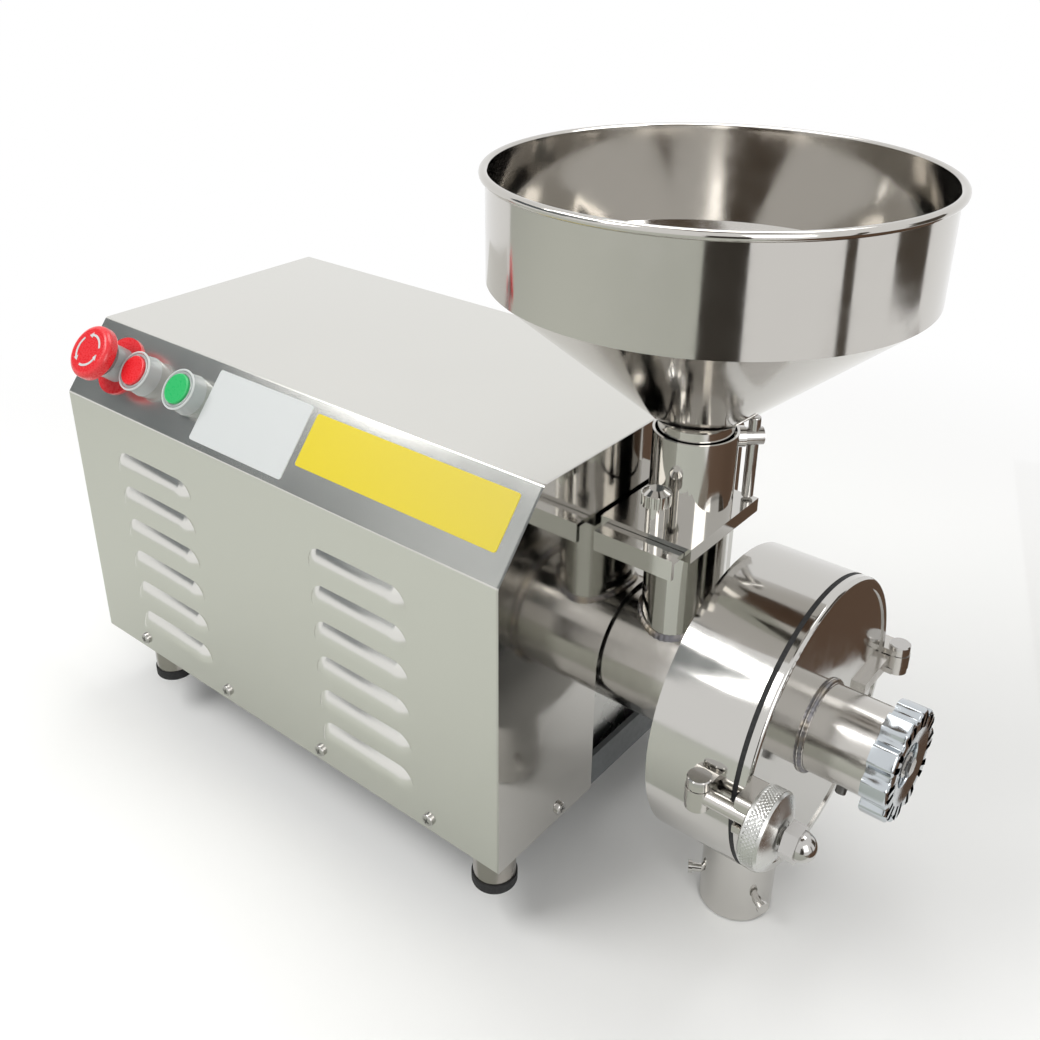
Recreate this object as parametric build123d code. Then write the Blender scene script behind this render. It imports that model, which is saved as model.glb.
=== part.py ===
from build123d import *
import math
import os

# Electric stone mill. Millimetres, +Z up, +X along the shaft towards the handwheel.
# Origin: on the table, below the shaft axis, under the outer face of the right end plate.

# Clearances
SEAT_GAP = 0.3
RUN_GAP = 0.08
THREAD_GAP = 0.06

# How far a cut runs past the face it opens
CUT_PAST = 1.0

# Housing
HOUSING_L = 420.0
FRONT_Y = -143.0
BACK_Y = 129.0
SHEET = 1.5
FOOT_H = 26.0
SHOULDER_H = 210.5
TOP_H = 258.5
TOP_FRONT_Y = -103.0
TOP_BACK_Y = 100.0
BEND_R = 3.0
SHAFT_H = 97.0

HOUSING_Z = FOOT_H
SHAFT_Z = HOUSING_Z + SHAFT_H
SHOULDER_Z = HOUSING_Z + SHOULDER_H
TOP_Z = HOUSING_Z + TOP_H

# Louvres on the front wall
LOUVRE_LEFT_IN = 97.0
LOUVRE_COLUMNS = (-HOUSING_L + LOUVRE_LEFT_IN, -115.0)
LOUVRE_ROWS = 6
LOUVRE_PITCH = 27.8
LOUVRE_FIRST_H = 27.0
LOUVRE_L = 88.0
LOUVRE_H = 14.0
LOUVRE_RISE = 5.0
LOUVRE_TAPER = 42.0

# Base frame
RAIL_W = 32.0
RAIL_T = 4.0
RAIL_H = 24.0
CROSS_W = 40.0
BAR_HOLE_R = 6.0
BAR_HOLE_Y = 58.0

# Feet
FOOT_R = 14.0
FOOT_PAD_H = 8.0
FOOT_PAD_R = 15.0
FOOT_LEFT_IN = 63.0
FOOT_X = (-HOUSING_L + FOOT_LEFT_IN, -16.0)
FOOT_Y = (-128.0, 114.0)
FOOT_STUD_R = 4.0

# Pan head screws
SCREW_R = 4.5
SCREW_HEAD_H = 2.6
SCREW_SHANK_R = 2.0
SCREW_SHANK_L = 7.0
FRONT_SCREWS = 4
FRONT_SCREW_IN = (52.0, 59.0)
SCREW_UP = 9.0
END_SCREW_INSET = 62.0

# Cable glands on the left end plate
GLAND_R = 8.0
GLAND_L = 16.0
GLAND_HEX_AF = 19.0
GLAND_HEX_T = 5.0
GLAND_Y = -124.0
GLAND_H = (70.0, 36.0)
GLAND_BORE_R = 4.0

# Motor
MOTOR_R = 76.0
MOTOR_L = 210.0
MOTOR_END_X = -118.0
MOTOR_WALL = 28.0
FIN_COUNT = 20
FIN_H = 7.0
FIN_T = 3.0
BELL_T = 12.0
AIR_GAP = 0.6
ROTOR_L = 120.0
COWL_L = 44.0
COWL_SHEET = 1.2
FAN_R = 58.0
FAN_T = 22.0
FAN_HUB_R = 16.0
FAN_BLADES = 6
MOTOR_BORE_R = 24.0
MOTOR_FOOT_W = 130.0
MOTOR_FOOT_T = 10.0
MOTOR_WEB_W = 91.0
FIN_FREE_ANGLE = 60.0
FAN_DISC_T = 2.0
FAN_BLADE_T = 2.4
COWL_SLOTS = 8
COWL_SLOT_W = 8.0
COWL_SLOT_IN = 23.0
COWL_SLOT_OUT = 61.0

# Shaft, coupling and bearings
SHAFT_R = 12.5
COUPLING_R = 24.0
COUPLING_L = 40.0
BEARING_T = 16.0
SEAL_T = 6.0

# Shaft tube and feed tube
TUBE_R = 42.0
TUBE_WALL = 3.5
TUBE_INSIDE_L = 72.0
DRUM_X = 71.0
FEED_X = 33.0
FEED_R = 25.4
FEED_WALL = 2.0
SLOT_GAP = 3.0
SEAT_T = 12.0
SEAT_BACK = 10.0

# Feed screw
SCREW_HUB_R = 17.0
FLIGHT_GAP = 2.0
FLIGHT_SINK = 2.0
FLIGHT_T = 5.0
FLIGHT_PITCH = 34.0
FLIGHT_TURNS = 1.5

# Gate under the hopper
GUIDE_TOP_H = 120.0
GUIDE_W = 62.0
GUIDE_FRONT_Y = -50.0
GUIDE_BACK_Y = 29.0
GUIDE_TOP_T = 3.0
GUIDE_LOW_T = 2.5
GUIDE_RAIL_W = 4.0
GATE_T = 3.0
GATE_REACH = 10.0
LIP_H = 13.0
LIP_T = 3.0
COLLAR_R = 25.7
COLLAR_WALL = 1.5
COLLAR_H = 49.0

# Gate lock screw
LOCK_R = 5.75
LOCK_Y = -40.0
LOCK_RISE = 15.0
LOCK_HEAD_R = 9.0
LOCK_HEAD_H = 10.0
LOCK_DOME = 2.5
LOCK_FLUTES = 18
LOCK_FLUTE_R = 0.8

# Hopper
HOPPER_SHEET = 1.2
RIM_H = 322.5
RIM_BEAD = 2.6
RIM_OVERHANG = 3.5
BOWL_R = 124.0
RIM_R = BOWL_R + RIM_OVERHANG
BOWL_FOOT_H = 261.0
CONE_FOOT_H = 175.0
SPOUT_R = 22.8

# Hopper clamp screw
CLAMP_ANGLE = 45.0
CLAMP_DROP = 7.0
CLAMP_BOSS_R = 6.5
CLAMP_BOSS_L = 4.0
CLAMP_SCREW_R = 3.0
CLAMP_HEAD_R = 5.5
CLAMP_BAR_R = 3.6
CLAMP_BAR_UP = 13.0
CLAMP_BAR_DOWN = 41.0
CLAMP_HEAD_L = 11.0

# Grinding drum
DRUM_R = 95.0
DRUM_L = 55.0
DRUM_WALL = 4.0
DRUM_BACK_T = 5.0
GASKET_T = 3.0
GASKET_W = 6.0
COVER_T = 6.0
COVER_EDGE_R = 2.6
COVER_RIM_W = 6.0
COVER_DISH = 1.0

# Stones
CARRIER_R = 62.0
CARRIER_T = 8.0
STONE_R = 76.0
STONE_EYE_R = 30.0
ROTATING_STONE_T = 16.0
FIXED_STONE_T = 14.0
STONE_GAP = 1.2
HOLDER_T = 4.5
HOLDER_GAP = 3.2
GROOVES = 12
GROOVE_W = 3.0
GROOVE_DEPTH = 1.5
CARRIER_WINDOWS = 4
CARRIER_WINDOW_R = 10.0
HOLDER_INSET = 4.0

# Neck, spindle and handwheel
NECK_R = 28.0
NECK_L = 39.0
NECK_WALL = 6.0
BUSH_L = 20.0
SPINDLE_R = 8.0
WHEEL_GAP = 1.0
WHEEL_T = 16.0
WHEEL_R = 35.5
WHEEL_LOBES = 10
WHEEL_NOTCH_R = 5.5
WHEEL_NOTCH_DEPTH = 3.6
WHEEL_EDGE_R = 1.2
WHEEL_RECESS_R = 14.0
WHEEL_RECESS = 4.0
WHEEL_BOLT_AF = 10.0
WHEEL_BOLT_T = 3.5
WHEEL_WASHER_R = 8.0
WHEEL_WASHER_T = 1.5
NECK_WELD = 2.5
SET_SCREW_R = 3.3
SET_SCREW_OUT = 4.5
SET_SCREW_X = 23.5
SET_SCREW_ANGLE = 30.0

# Cover clamp
CLAMP_UP = 7.5
PIVOT_X = 110.0
BOLT_OUT = 8.0
PIVOT_R = 3.0
EYE_R = 7.5
EYE_T = 10.0
EAR_T = 4.0
EAR_R = 7.0
PIN_HEAD_R = 7.0
PIN_HEAD_T = 2.6
PIN_END = 1.5
BOLT_R = 5.0
LUG_T = 8.0
LUG_H = 26.0
LUG_BEYOND = 4.4
LUG_INBOARD = 24.0
LUG_CORNER_R = 3.5
SLOT_CLEAR = 0.8
WASHER_R = 11.0
WASHER_T = 2.0
NUT_R = 23.0
NUT_T = 16.0
NUT_DISC_T = 12.0
NUT_EDGE = 1.2
NUT_HUB_R = 13.0
NUT_BACK_OFF = 2.4
ACORN_AF = 19.0
ACORN_HEX_L = 8.0
ACORN_R = 8.5

# Hinge of the cover, at the back of the drum
HINGE_X = 142.0
HINGE_Y = 103.0
HINGE_DOWN = 6.0
HINGE_FOOT_X = 108.0
HINGE_TIP_Y = 57.0
HINGE_LEAF_T = 5.0
HINGE_TAPER = 0.7

# Outlet spout
OUTLET_X = 99.0
OUTLET_Y = -13.0
OUTLET_R = 24.0
OUTLET_WALL = 2.0
OUTLET_BELOW = 30.0
NUB_ANGLES = (-30.0, 210.0)
NUB_R = 3.0
NUB_L = 6.0
NUB_UP = 18.0
NUB_HEAD_R = 4.2
NUB_HEAD_T = 2.5

# Controls on the sloping panel
CONTROL_V = 32.5
ESTOP_IN = 43.0
ESTOP_TO_STOP = 31.0
STOP_TO_START = 51.0
ESTOP_RING_R = 22.0
ESTOP_RING_T = 1.6
ESTOP_STEM_R = 13.0
ESTOP_STEM_H = 15.0
ESTOP_HEAD_R = 20.0
ESTOP_HEAD_H = 10.0
ESTOP_NECK_R = 8.0
ESTOP_TRAVEL = 5.0
ESTOP_CLEAR = 1.0
ESTOP_TOP_R = 4.5
ESTOP_EDGE_R = 2.0
BEZEL_R = 15.0
BEZEL_H = 12.0
BEZEL_TOP_R = 13.0
CAP_R = 11.0
CAP_RISE = 2.0

# Places worked out from the sizes above
ESTOP_X = -HOUSING_L + ESTOP_IN
STOP_X = ESTOP_X + ESTOP_TO_STOP
START_X = STOP_X + STOP_TO_START
CLAMP_Z = SHAFT_Z + CLAMP_UP
HINGE_Z = SHAFT_Z - HINGE_DOWN
INNER_TUBE_R = TUBE_R - TUBE_WALL
DRUM_FRONT_X = DRUM_X + DRUM_L
COVER_X = DRUM_FRONT_X + GASKET_T
COVER_FRONT_X = COVER_X + COVER_T
COVER_FACE_X = COVER_FRONT_X - COVER_DISH
NECK_END_X = COVER_FRONT_X + NECK_L
HOLDER_X = COVER_X - HOLDER_GAP - HOLDER_T
FIXED_STONE_X = HOLDER_X - FIXED_STONE_T
ROTATING_STONE_X = FIXED_STONE_X - STONE_GAP - ROTATING_STONE_T
CARRIER_X = ROTATING_STONE_X - CARRIER_T
WHEEL_X = NECK_END_X + WHEEL_GAP
BOLT_Y = DRUM_R + BOLT_OUT
LUG_FRONT_X = COVER_FRONT_X + LUG_T
WASHER_X = LUG_FRONT_X + SEAT_GAP
NUT_X = WASHER_X + WASHER_T + SEAT_GAP
ACORN_X = NUT_X + NUT_T + NUT_BACK_OFF
GUIDE_TOP_Z = SHAFT_Z + GUIDE_TOP_H
GATE_TOP_Z = GUIDE_TOP_Z - GUIDE_TOP_T - SEAT_GAP
GATE_LOW_Z = GATE_TOP_Z - GATE_T
GUIDE_LOW_Z = GATE_LOW_Z - SEAT_GAP
FEED_TOP_Z = GUIDE_LOW_Z - GUIDE_LOW_T
COLLAR_TOP_Z = GUIDE_TOP_Z + COLLAR_H
FEED_BORE_R = FEED_R - FEED_WALL
TUBE_BACK_X = -TUBE_INSIDE_L
BELL_FRONT_X = MOTOR_END_X - BELL_T


def standing(radius, height):
    """Cylinder that stands on the XY plane."""
    return Cylinder(radius, height, align=(Align.CENTER, Align.CENTER, Align.MIN))


def standing_cone(radius, top_radius, height):
    """Cone that stands on the XY plane."""
    return Cone(radius, top_radius, height, align=(Align.CENTER, Align.CENTER, Align.MIN))


def rod(radius, length, x, y=0.0, z=SHAFT_Z):
    """Solid cylinder along +X from x."""
    return Pos(x, y, z) * Rot(0, 90, 0) * standing(radius, length)


def ring(outer, inner, length, x, y=0.0, z=SHAFT_Z):
    """Tube along +X from x."""
    return rod(outer, length, x, y, z) - rod(inner, length, x, y, z)


def post(radius, height, x, y, z):
    """Solid cylinder along +Z from z."""
    return Pos(x, y, z) * standing(radius, height)


def block(x0, x1, y0, y1, z0, z1):
    """Box between two corners."""
    return Pos(x0, y0, z0) * Box(x1 - x0, y1 - y0, z1 - z0, align=(Align.MIN, Align.MIN, Align.MIN))


def on_yz(sketch, x):
    """Lay a sketch on the YZ plane at x: its first axis becomes Y, its second Z."""
    return Plane(origin=(x, 0, 0), x_dir=(0, 1, 0), z_dir=(1, 0, 0)) * sketch


def housing_face():
    """Outline of the housing seen from the handwheel end."""
    outline = Polyline(
        (FRONT_Y, HOUSING_Z),
        (FRONT_Y, SHOULDER_Z),
        (TOP_FRONT_Y, TOP_Z),
        (TOP_BACK_Y, TOP_Z),
        (BACK_Y, SHOULDER_Z),
        (BACK_Y, HOUSING_Z),
        close=True,
    )
    face = make_face(outline)
    return fillet(face.vertices().sort_by(Axis.Y)[2:], BEND_R)


def panel_plane(x, rise=0.0):
    """Plane of the sloping control panel at x, raised along its normal."""
    run = TOP_FRONT_Y - FRONT_Y
    climb = TOP_Z - SHOULDER_Z
    length = math.hypot(run, climb)
    share = CONTROL_V / length
    centre = Vector(x, FRONT_Y + run * share, SHOULDER_Z + climb * share)
    normal = Vector(0, -climb / length, run / length)
    return Plane(origin=centre + normal * rise, x_dir=(1, 0, 0), z_dir=normal)


def louvre(x, z):
    """One pressed hood, open along its lower edge, and the opening behind it."""
    wall = Plane(origin=(x, FRONT_Y + SHEET, z), x_dir=(1, 0, 0), z_dir=(0, -1, 0))
    out = FRONT_Y - LOUVRE_RISE - CUT_PAST
    keep = block(x - LOUVRE_L, x + LOUVRE_L, out, FRONT_Y + 2 * SHEET, z, z + 2 * LOUVRE_H)
    outside = SlotOverall(LOUVRE_L, 2 * LOUVRE_H)
    inside = SlotOverall(LOUVRE_L - 4 * SHEET, 2 * LOUVRE_H - 4 * SHEET)
    hood = extrude(wall * outside, LOUVRE_RISE + SHEET, taper=LOUVRE_TAPER)
    hollow = extrude(wall * inside, LOUVRE_RISE, taper=LOUVRE_TAPER)
    return hood & keep, hollow & keep


def housing_cover():
    """Folded sheet: front with louvres, control slope, top, back slope and back."""
    outer = housing_face()
    inner = offset(outer, -SHEET, kind=Kind.INTERSECTION)
    wall = outer - inner - Pos(0, -2 * SHEET) * inner
    length = HOUSING_L - 2 * SHEET
    shell = extrude(on_yz(wall, -HOUSING_L + SHEET), length)
    for x in LOUVRE_COLUMNS:
        for row in range(LOUVRE_ROWS):
            z = HOUSING_Z + LOUVRE_FIRST_H + row * LOUVRE_PITCH
            hood, hollow = louvre(x, z)
            shell = shell + hood - hollow
    screw_hole = Rot(90, 0, 0) * Cylinder(SCREW_SHANK_R + SEAT_GAP, 3 * HOUSING_L)
    for x in front_screw_x():
        shell -= Pos(x, 0, HOUSING_Z + SCREW_UP) * screw_hole
    for x, radius in control_holes():
        shell -= panel_plane(x, -SHEET * 3) * standing(radius, SHEET * 6)
    return shell


def control_holes():
    """Holes in the sloping panel that the controls pass through."""
    return ((ESTOP_X, ESTOP_NECK_R + SEAT_GAP), (STOP_X, CAP_R + SEAT_GAP), (START_X, CAP_R + SEAT_GAP))


def end_plate(x):
    """Flat end of the housing, sheet thick, from x."""
    return extrude(on_yz(housing_face(), x), SHEET)


def end_plate_right():
    """Polished end with the slot that drops over the shaft tube."""
    plate = end_plate(-SHEET)
    half = TUBE_R + SLOT_GAP
    plate -= rod(half, 3 * SHEET, -2 * SHEET)
    plate -= block(-2 * SHEET, SHEET, -half, half, HOUSING_Z - SHEET, SHAFT_Z)
    for y in end_screw_y():
        plate -= rod(SCREW_SHANK_R + SEAT_GAP, 3 * SHEET, -2 * SHEET, y, HOUSING_Z + SCREW_UP)
    return plate


def end_plate_left():
    """Plain end with two holes for the cable glands."""
    plate = end_plate(-HOUSING_L)
    for height in GLAND_H:
        plate -= rod(GLAND_R + SEAT_GAP, 3 * SHEET, -HOUSING_L - SHEET, GLAND_Y, HOUSING_Z + height)
    for y in end_screw_y():
        plate -= rod(SCREW_SHANK_R + SEAT_GAP, 3 * SHEET, -HOUSING_L - SHEET, y, HOUSING_Z + SCREW_UP)
    return plate


def front_screw_x():
    """Places along the front and back of their screws."""
    first = -HOUSING_L + FRONT_SCREW_IN[0]
    pitch = (HOUSING_L - sum(FRONT_SCREW_IN)) / (FRONT_SCREWS - 1)
    return [first + index * pitch for index in range(FRONT_SCREWS)]


def end_screw_y():
    """Places across the end plates of their screws."""
    return (FRONT_Y + END_SCREW_INSET, BACK_Y - END_SCREW_INSET)


def base_frame():
    """Welded frame of angle and flat bar that the feet, motor and shaft tube stand on."""
    inset = SHEET + SEAT_GAP
    x0 = -HOUSING_L + inset
    x1 = -inset
    y0 = FRONT_Y + inset
    y1 = BACK_Y - inset
    z0 = HOUSING_Z
    frame = block(x0, x1, y0, y0 + RAIL_W, z0, z0 + RAIL_T)
    frame += block(x0, x1, y0, y0 + RAIL_T, z0, z0 + RAIL_H)
    frame += block(x0, x1, y1 - RAIL_W, y1, z0, z0 + RAIL_T)
    frame += block(x0, x1, y1 - RAIL_T, y1, z0, z0 + RAIL_H)
    for x in (x0, x1 - RAIL_T):
        frame += block(x, x + RAIL_T, y0, y1, z0, z0 + RAIL_H)
    for x in cross_bar_x():
        frame += block(x, x + CROSS_W, y0, y1, z0, z0 + RAIL_T)
    for y in (-BAR_HOLE_Y, BAR_HOLE_Y):
        frame -= rod(BAR_HOLE_R, 4 * RAIL_T, x1 - 2 * RAIL_T, y, z0 + RAIL_H / 2)
    for x in FOOT_X:
        for y in FOOT_Y:
            frame -= post(FOOT_STUD_R + SEAT_GAP, 3 * RAIL_T, x, y, z0 - RAIL_T)
    for x in front_screw_x():
        frame -= Pos(x, 0, z0 + SCREW_UP) * Rot(90, 0, 0) * Cylinder(SCREW_SHANK_R, 3 * HOUSING_L)
    for y in end_screw_y():
        frame -= rod(SCREW_SHANK_R, 3 * HOUSING_L, -2 * HOUSING_L, y, z0 + SCREW_UP)
    return frame


def cross_bar_x():
    """Near edges of the three flat cross bars: two under the motor, one under the tube seat."""
    back = MOTOR_END_X - MOTOR_L
    seat = -SHEET - SEAT_GAP - RAIL_T - CROSS_W
    return (back + BELL_T, MOTOR_END_X - BELL_T - CROSS_W, seat)


def bearing_seat():
    """Upright cradle on the base frame that carries the shaft tube just inside the end plate."""
    half = TUBE_R + SEAT_T
    x1 = -SEAT_BACK
    x0 = x1 - SEAT_T
    seat = block(x0, x1, -half, half, HOUSING_Z + RAIL_T, SHAFT_Z)
    seat += rod(half, SEAT_T, x0)
    return seat - rod(TUBE_R, 3 * SEAT_T, x0 - SEAT_T)


def feet():
    """Four metal foot cylinders with studs into the base frame."""
    solids = []
    for x in FOOT_X:
        for y in FOOT_Y:
            foot = post(FOOT_R, FOOT_H - FOOT_PAD_H, x, y, FOOT_PAD_H)
            solids.append(foot + post(FOOT_STUD_R, RAIL_T * 2, x, y, HOUSING_Z))
    return Compound(solids)


def foot_pads():
    """Four rubber rings under the feet."""
    solids = []
    for x in FOOT_X:
        for y in FOOT_Y:
            pad = post(FOOT_PAD_R, FOOT_PAD_H, x, y, 0)
            solids.append(fillet(pad.edges().group_by(Axis.Z)[0], FOOT_PAD_H / 4))
    return Compound(solids)


def pan_screw(plane):
    """Pan head screw on a plane whose normal points out of the sheet."""
    head = standing(SCREW_R, SCREW_HEAD_H)
    head = fillet(head.edges().group_by(Axis.Z)[-1], SCREW_HEAD_H / 2)
    shank = Cylinder(SCREW_SHANK_R, SCREW_SHANK_L, align=(Align.CENTER, Align.CENTER, Align.MAX))
    return plane * (head + shank)


def housing_screws():
    """Pan head screws along the foot of the housing."""
    z = HOUSING_Z + SCREW_UP
    solids = []
    for x in front_screw_x():
        solids.append(pan_screw(Plane(origin=(x, FRONT_Y, z), x_dir=(1, 0, 0), z_dir=(0, -1, 0))))
        solids.append(pan_screw(Plane(origin=(x, BACK_Y, z), x_dir=(1, 0, 0), z_dir=(0, 1, 0))))
    for y in end_screw_y():
        solids.append(pan_screw(Plane(origin=(0, y, z), x_dir=(0, 1, 0), z_dir=(1, 0, 0))))
        solids.append(pan_screw(Plane(origin=(-HOUSING_L, y, z), x_dir=(0, 1, 0), z_dir=(-1, 0, 0))))
    return Compound(solids)


def cable_glands():
    """Two black cable glands in the left end plate."""
    solids = []
    for height in GLAND_H:
        z = HOUSING_Z + height
        hexagon = RegularPolygon(GLAND_HEX_AF / 2, 6, major_radius=False)
        nut = extrude(on_yz(Pos(GLAND_Y, z) * hexagon, -HOUSING_L - GLAND_HEX_T), GLAND_HEX_T)
        body = rod(GLAND_R, GLAND_L + 4 * SHEET, -HOUSING_L - GLAND_L, GLAND_Y, z)
        bore = rod(GLAND_BORE_R, 2 * GLAND_L, -HOUSING_L - GLAND_L, GLAND_Y, z)
        solids.append(nut + body - bore)
    return Compound(solids)


def motor_housing():
    """Finned motor body with its two feet."""
    x0 = BELL_FRONT_X - MOTOR_L + 2 * BELL_T
    length = MOTOR_L - 2 * BELL_T
    body = rod(MOTOR_R, length, x0)
    for index in range(FIN_COUNT):
        fin = block(x0, x0 + length, -FIN_T / 2, FIN_T / 2, MOTOR_R - FIN_T, MOTOR_R + FIN_H)
        angle = 360.0 / FIN_COUNT * (index + 0.5)
        if abs(angle - 180) > FIN_FREE_ANGLE:
            body += Pos(0, 0, SHAFT_Z) * Rot(angle, 0, 0) * fin
    for x in cross_bar_x()[:2]:
        half = MOTOR_FOOT_W / 2
        foot = block(x, x + CROSS_W, -half, half, HOUSING_Z + RAIL_T, HOUSING_Z + RAIL_T + MOTOR_FOOT_T)
        top = SHAFT_Z - MOTOR_R / 2
        web = block(x, x + CROSS_W, -MOTOR_WEB_W / 2, MOTOR_WEB_W / 2, HOUSING_Z + RAIL_T, top)
        body += foot + web
    return body - rod(MOTOR_R - MOTOR_WALL, 2 * MOTOR_L, x0 - MOTOR_L / 2)


def motor_end_bells():
    """Two end covers that hold the motor's bearings."""
    solids = []
    for x in bell_x():
        solids.append(ring(MOTOR_R, MOTOR_BORE_R, BELL_T, x))
    return Compound(solids)


def bell_x():
    """Near faces of the motor's two end covers."""
    return (BELL_FRONT_X, BELL_FRONT_X - MOTOR_L + BELL_T)


def rotor_x():
    """Near end of the rotor core, centred in the motor body."""
    return BELL_FRONT_X - (MOTOR_L - BELL_T) / 2 + BELL_T / 2 - ROTOR_L / 2


def motor_rotor():
    """Rotor core on the motor shaft."""
    return ring(MOTOR_R - MOTOR_WALL - AIR_GAP, SHAFT_R, ROTOR_L, rotor_x())


def motor_fan_cowl():
    """Sheet cowl over the cooling fan, with slots in its end."""
    x1 = BELL_FRONT_X - MOTOR_L + BELL_T
    x0 = x1 - COWL_L
    cowl = rod(MOTOR_R, COWL_L, x0) - rod(MOTOR_R - COWL_SHEET, COWL_L, x0 + COWL_SHEET)
    for index in range(COWL_SLOTS):
        slot = Pos(0, 0, SHAFT_Z) * Rot(360.0 / COWL_SLOTS * index, 0, 0)
        half = COWL_SLOT_W / 2
        cut = block(x0 - COWL_SHEET, x0 + 2 * COWL_SHEET, -half, half, COWL_SLOT_IN, COWL_SLOT_OUT)
        cowl -= slot * cut
    return cowl


def motor_fan():
    """Six-blade cooling fan on the motor shaft."""
    x0 = BELL_FRONT_X - MOTOR_L + BELL_T - COWL_L / 2 - FAN_T / 2
    fan = rod(FAN_HUB_R, FAN_T, x0)
    fan += rod(FAN_R, FAN_DISC_T, x0 + FAN_T - FAN_DISC_T)
    for index in range(FAN_BLADES):
        blade = block(x0, x0 + FAN_T, -FAN_BLADE_T / 2, FAN_BLADE_T / 2, SHAFT_R + FAN_BLADE_T, FAN_R)
        fan += Pos(0, 0, SHAFT_Z) * Rot(360.0 / FAN_BLADES * index, 0, 0) * blade
    return fan - rod(SHAFT_R, 3 * FAN_T, x0 - FAN_T)


def motor_shaft():
    """Motor shaft from the fan to the coupling."""
    x0 = BELL_FRONT_X - MOTOR_L + BELL_T - COWL_L / 2 - FAN_T / 2
    return rod(SHAFT_R, MOTOR_END_X + COUPLING_L / 2 - x0, x0)


def coupling():
    """Sleeve that joins the motor shaft to the mill shaft."""
    return ring(COUPLING_R, SHAFT_R, COUPLING_L, MOTOR_END_X + SEAT_GAP)


def mill_shaft():
    """Mill shaft from the coupling through the tube to the stone carrier."""
    x0 = MOTOR_END_X + COUPLING_L / 2
    return rod(SHAFT_R, CARRIER_X + CARRIER_T - x0, x0)


def ball_bearings():
    """Four ball bearings as plain rings: two in the motor's end covers, two in the shaft tube."""
    solids = []
    for x in bell_x():
        solids.append(ring(MOTOR_BORE_R, SHAFT_R + RUN_GAP, BELL_T, x))
    for x in (TUBE_BACK_X + SEAL_T, -SEAT_BACK - BEARING_T):
        solids.append(ring(INNER_TUBE_R, SHAFT_R + RUN_GAP, BEARING_T, x))
    return Compound(solids)


def shaft_seal():
    """Rubber lip seal between the bearings and the feed screw."""
    return ring(INNER_TUBE_R, SHAFT_R + RUN_GAP, SEAL_T, -SEAT_BACK)


def shaft_tube():
    """Stainless tube that carries the bearings and leads the grain to the stones."""
    tube = ring(TUBE_R, INNER_TUBE_R, DRUM_X - TUBE_BACK_X, TUBE_BACK_X)
    return tube - post(FEED_BORE_R, 2 * TUBE_R, FEED_X, 0, SHAFT_Z)


def feed_tube():
    """Upright tube welded into a saddle on the shaft tube."""
    height = FEED_TOP_Z - SHAFT_Z
    tube = post(FEED_R, height, FEED_X, 0, SHAFT_Z) - post(FEED_BORE_R, height, FEED_X, 0, SHAFT_Z)
    return tube - rod(TUBE_R, 4 * TUBE_R, FEED_X - 2 * TUBE_R)


def feed_screw():
    """Screw that pushes the grain along the tube: a hub with one helical flight."""
    flight_r = INNER_TUBE_R - FLIGHT_GAP
    length = FLIGHT_PITCH * FLIGHT_TURNS
    x0 = -SEAT_BACK + SEAL_T + SEAT_GAP * 2
    hub = ring(SCREW_HUB_R, SHAFT_R, DRUM_X - x0, x0)
    middle = (flight_r + SCREW_HUB_R) / 2
    depth = flight_r - SCREW_HUB_R + 2 * FLIGHT_SINK
    path = Helix(FLIGHT_PITCH, length, middle - FLIGHT_SINK / 2)
    section = Plane(origin=path @ 0, z_dir=path % 0, x_dir=(1, 0, 0)) * Rectangle(depth, FLIGHT_T)
    flight = sweep(section, path=path, is_frenet=True)
    flight = Pos(x0 + FLIGHT_T, 0, SHAFT_Z) * Rot(0, 90, 0) * flight
    flight -= rod(SCREW_HUB_R - FLIGHT_SINK / 2, 2 * DRUM_X, x0 - DRUM_X / 2)
    return hub + flight


def gate_guide():
    """Lower plate, side strips and upper plate that the slide gate runs between."""
    x0 = FEED_X - GUIDE_W / 2
    x1 = x0 + GUIDE_W
    y0 = GUIDE_FRONT_Y
    y1 = GUIDE_BACK_Y
    guide = block(x0, x1, y0, y1, GUIDE_LOW_Z - GUIDE_LOW_T, GUIDE_TOP_Z)
    channel_x = (x0 + GUIDE_RAIL_W, x1 - GUIDE_RAIL_W)
    guide -= block(*channel_x, y0 - CUT_PAST, y1 + CUT_PAST, GUIDE_LOW_Z, GUIDE_TOP_Z - GUIDE_TOP_T)
    guide -= post(SPOUT_R - HOPPER_SHEET, GUIDE_TOP_H, FEED_X, 0, GUIDE_LOW_Z - GUIDE_TOP_H / 2)
    return guide - post(LOCK_R + THREAD_GAP, GUIDE_TOP_T * 3, FEED_X, LOCK_Y, GATE_TOP_Z)


def slide_gate():
    """Slide plate with a bent-down lip to pull it by."""
    half = GUIDE_W / 2 - GUIDE_RAIL_W - SEAT_GAP
    front = GUIDE_FRONT_Y - GATE_REACH
    gate = block(FEED_X - half, FEED_X + half, front, GUIDE_BACK_Y - SEAT_GAP, GATE_LOW_Z, GATE_TOP_Z)
    lip = block(FEED_X - half, FEED_X + half, front - LIP_T, front, GATE_TOP_Z - LIP_H, GATE_TOP_Z)
    return gate + lip


def hopper_collar():
    """Short tube on the guide that takes the hopper's spout, with a boss for its clamp screw."""
    collar = post(COLLAR_R, COLLAR_H, FEED_X, 0, GUIDE_TOP_Z)
    boss = clamp_plane(0) * standing(CLAMP_BOSS_R, COLLAR_R + CLAMP_BOSS_L)
    collar += boss
    collar -= post(COLLAR_R - COLLAR_WALL, COLLAR_H * 2, FEED_X, 0, GUIDE_TOP_Z - COLLAR_H / 2)
    bore = standing(CLAMP_SCREW_R + THREAD_GAP, 2 * COLLAR_R)
    return collar - clamp_plane(0) * bore


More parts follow.
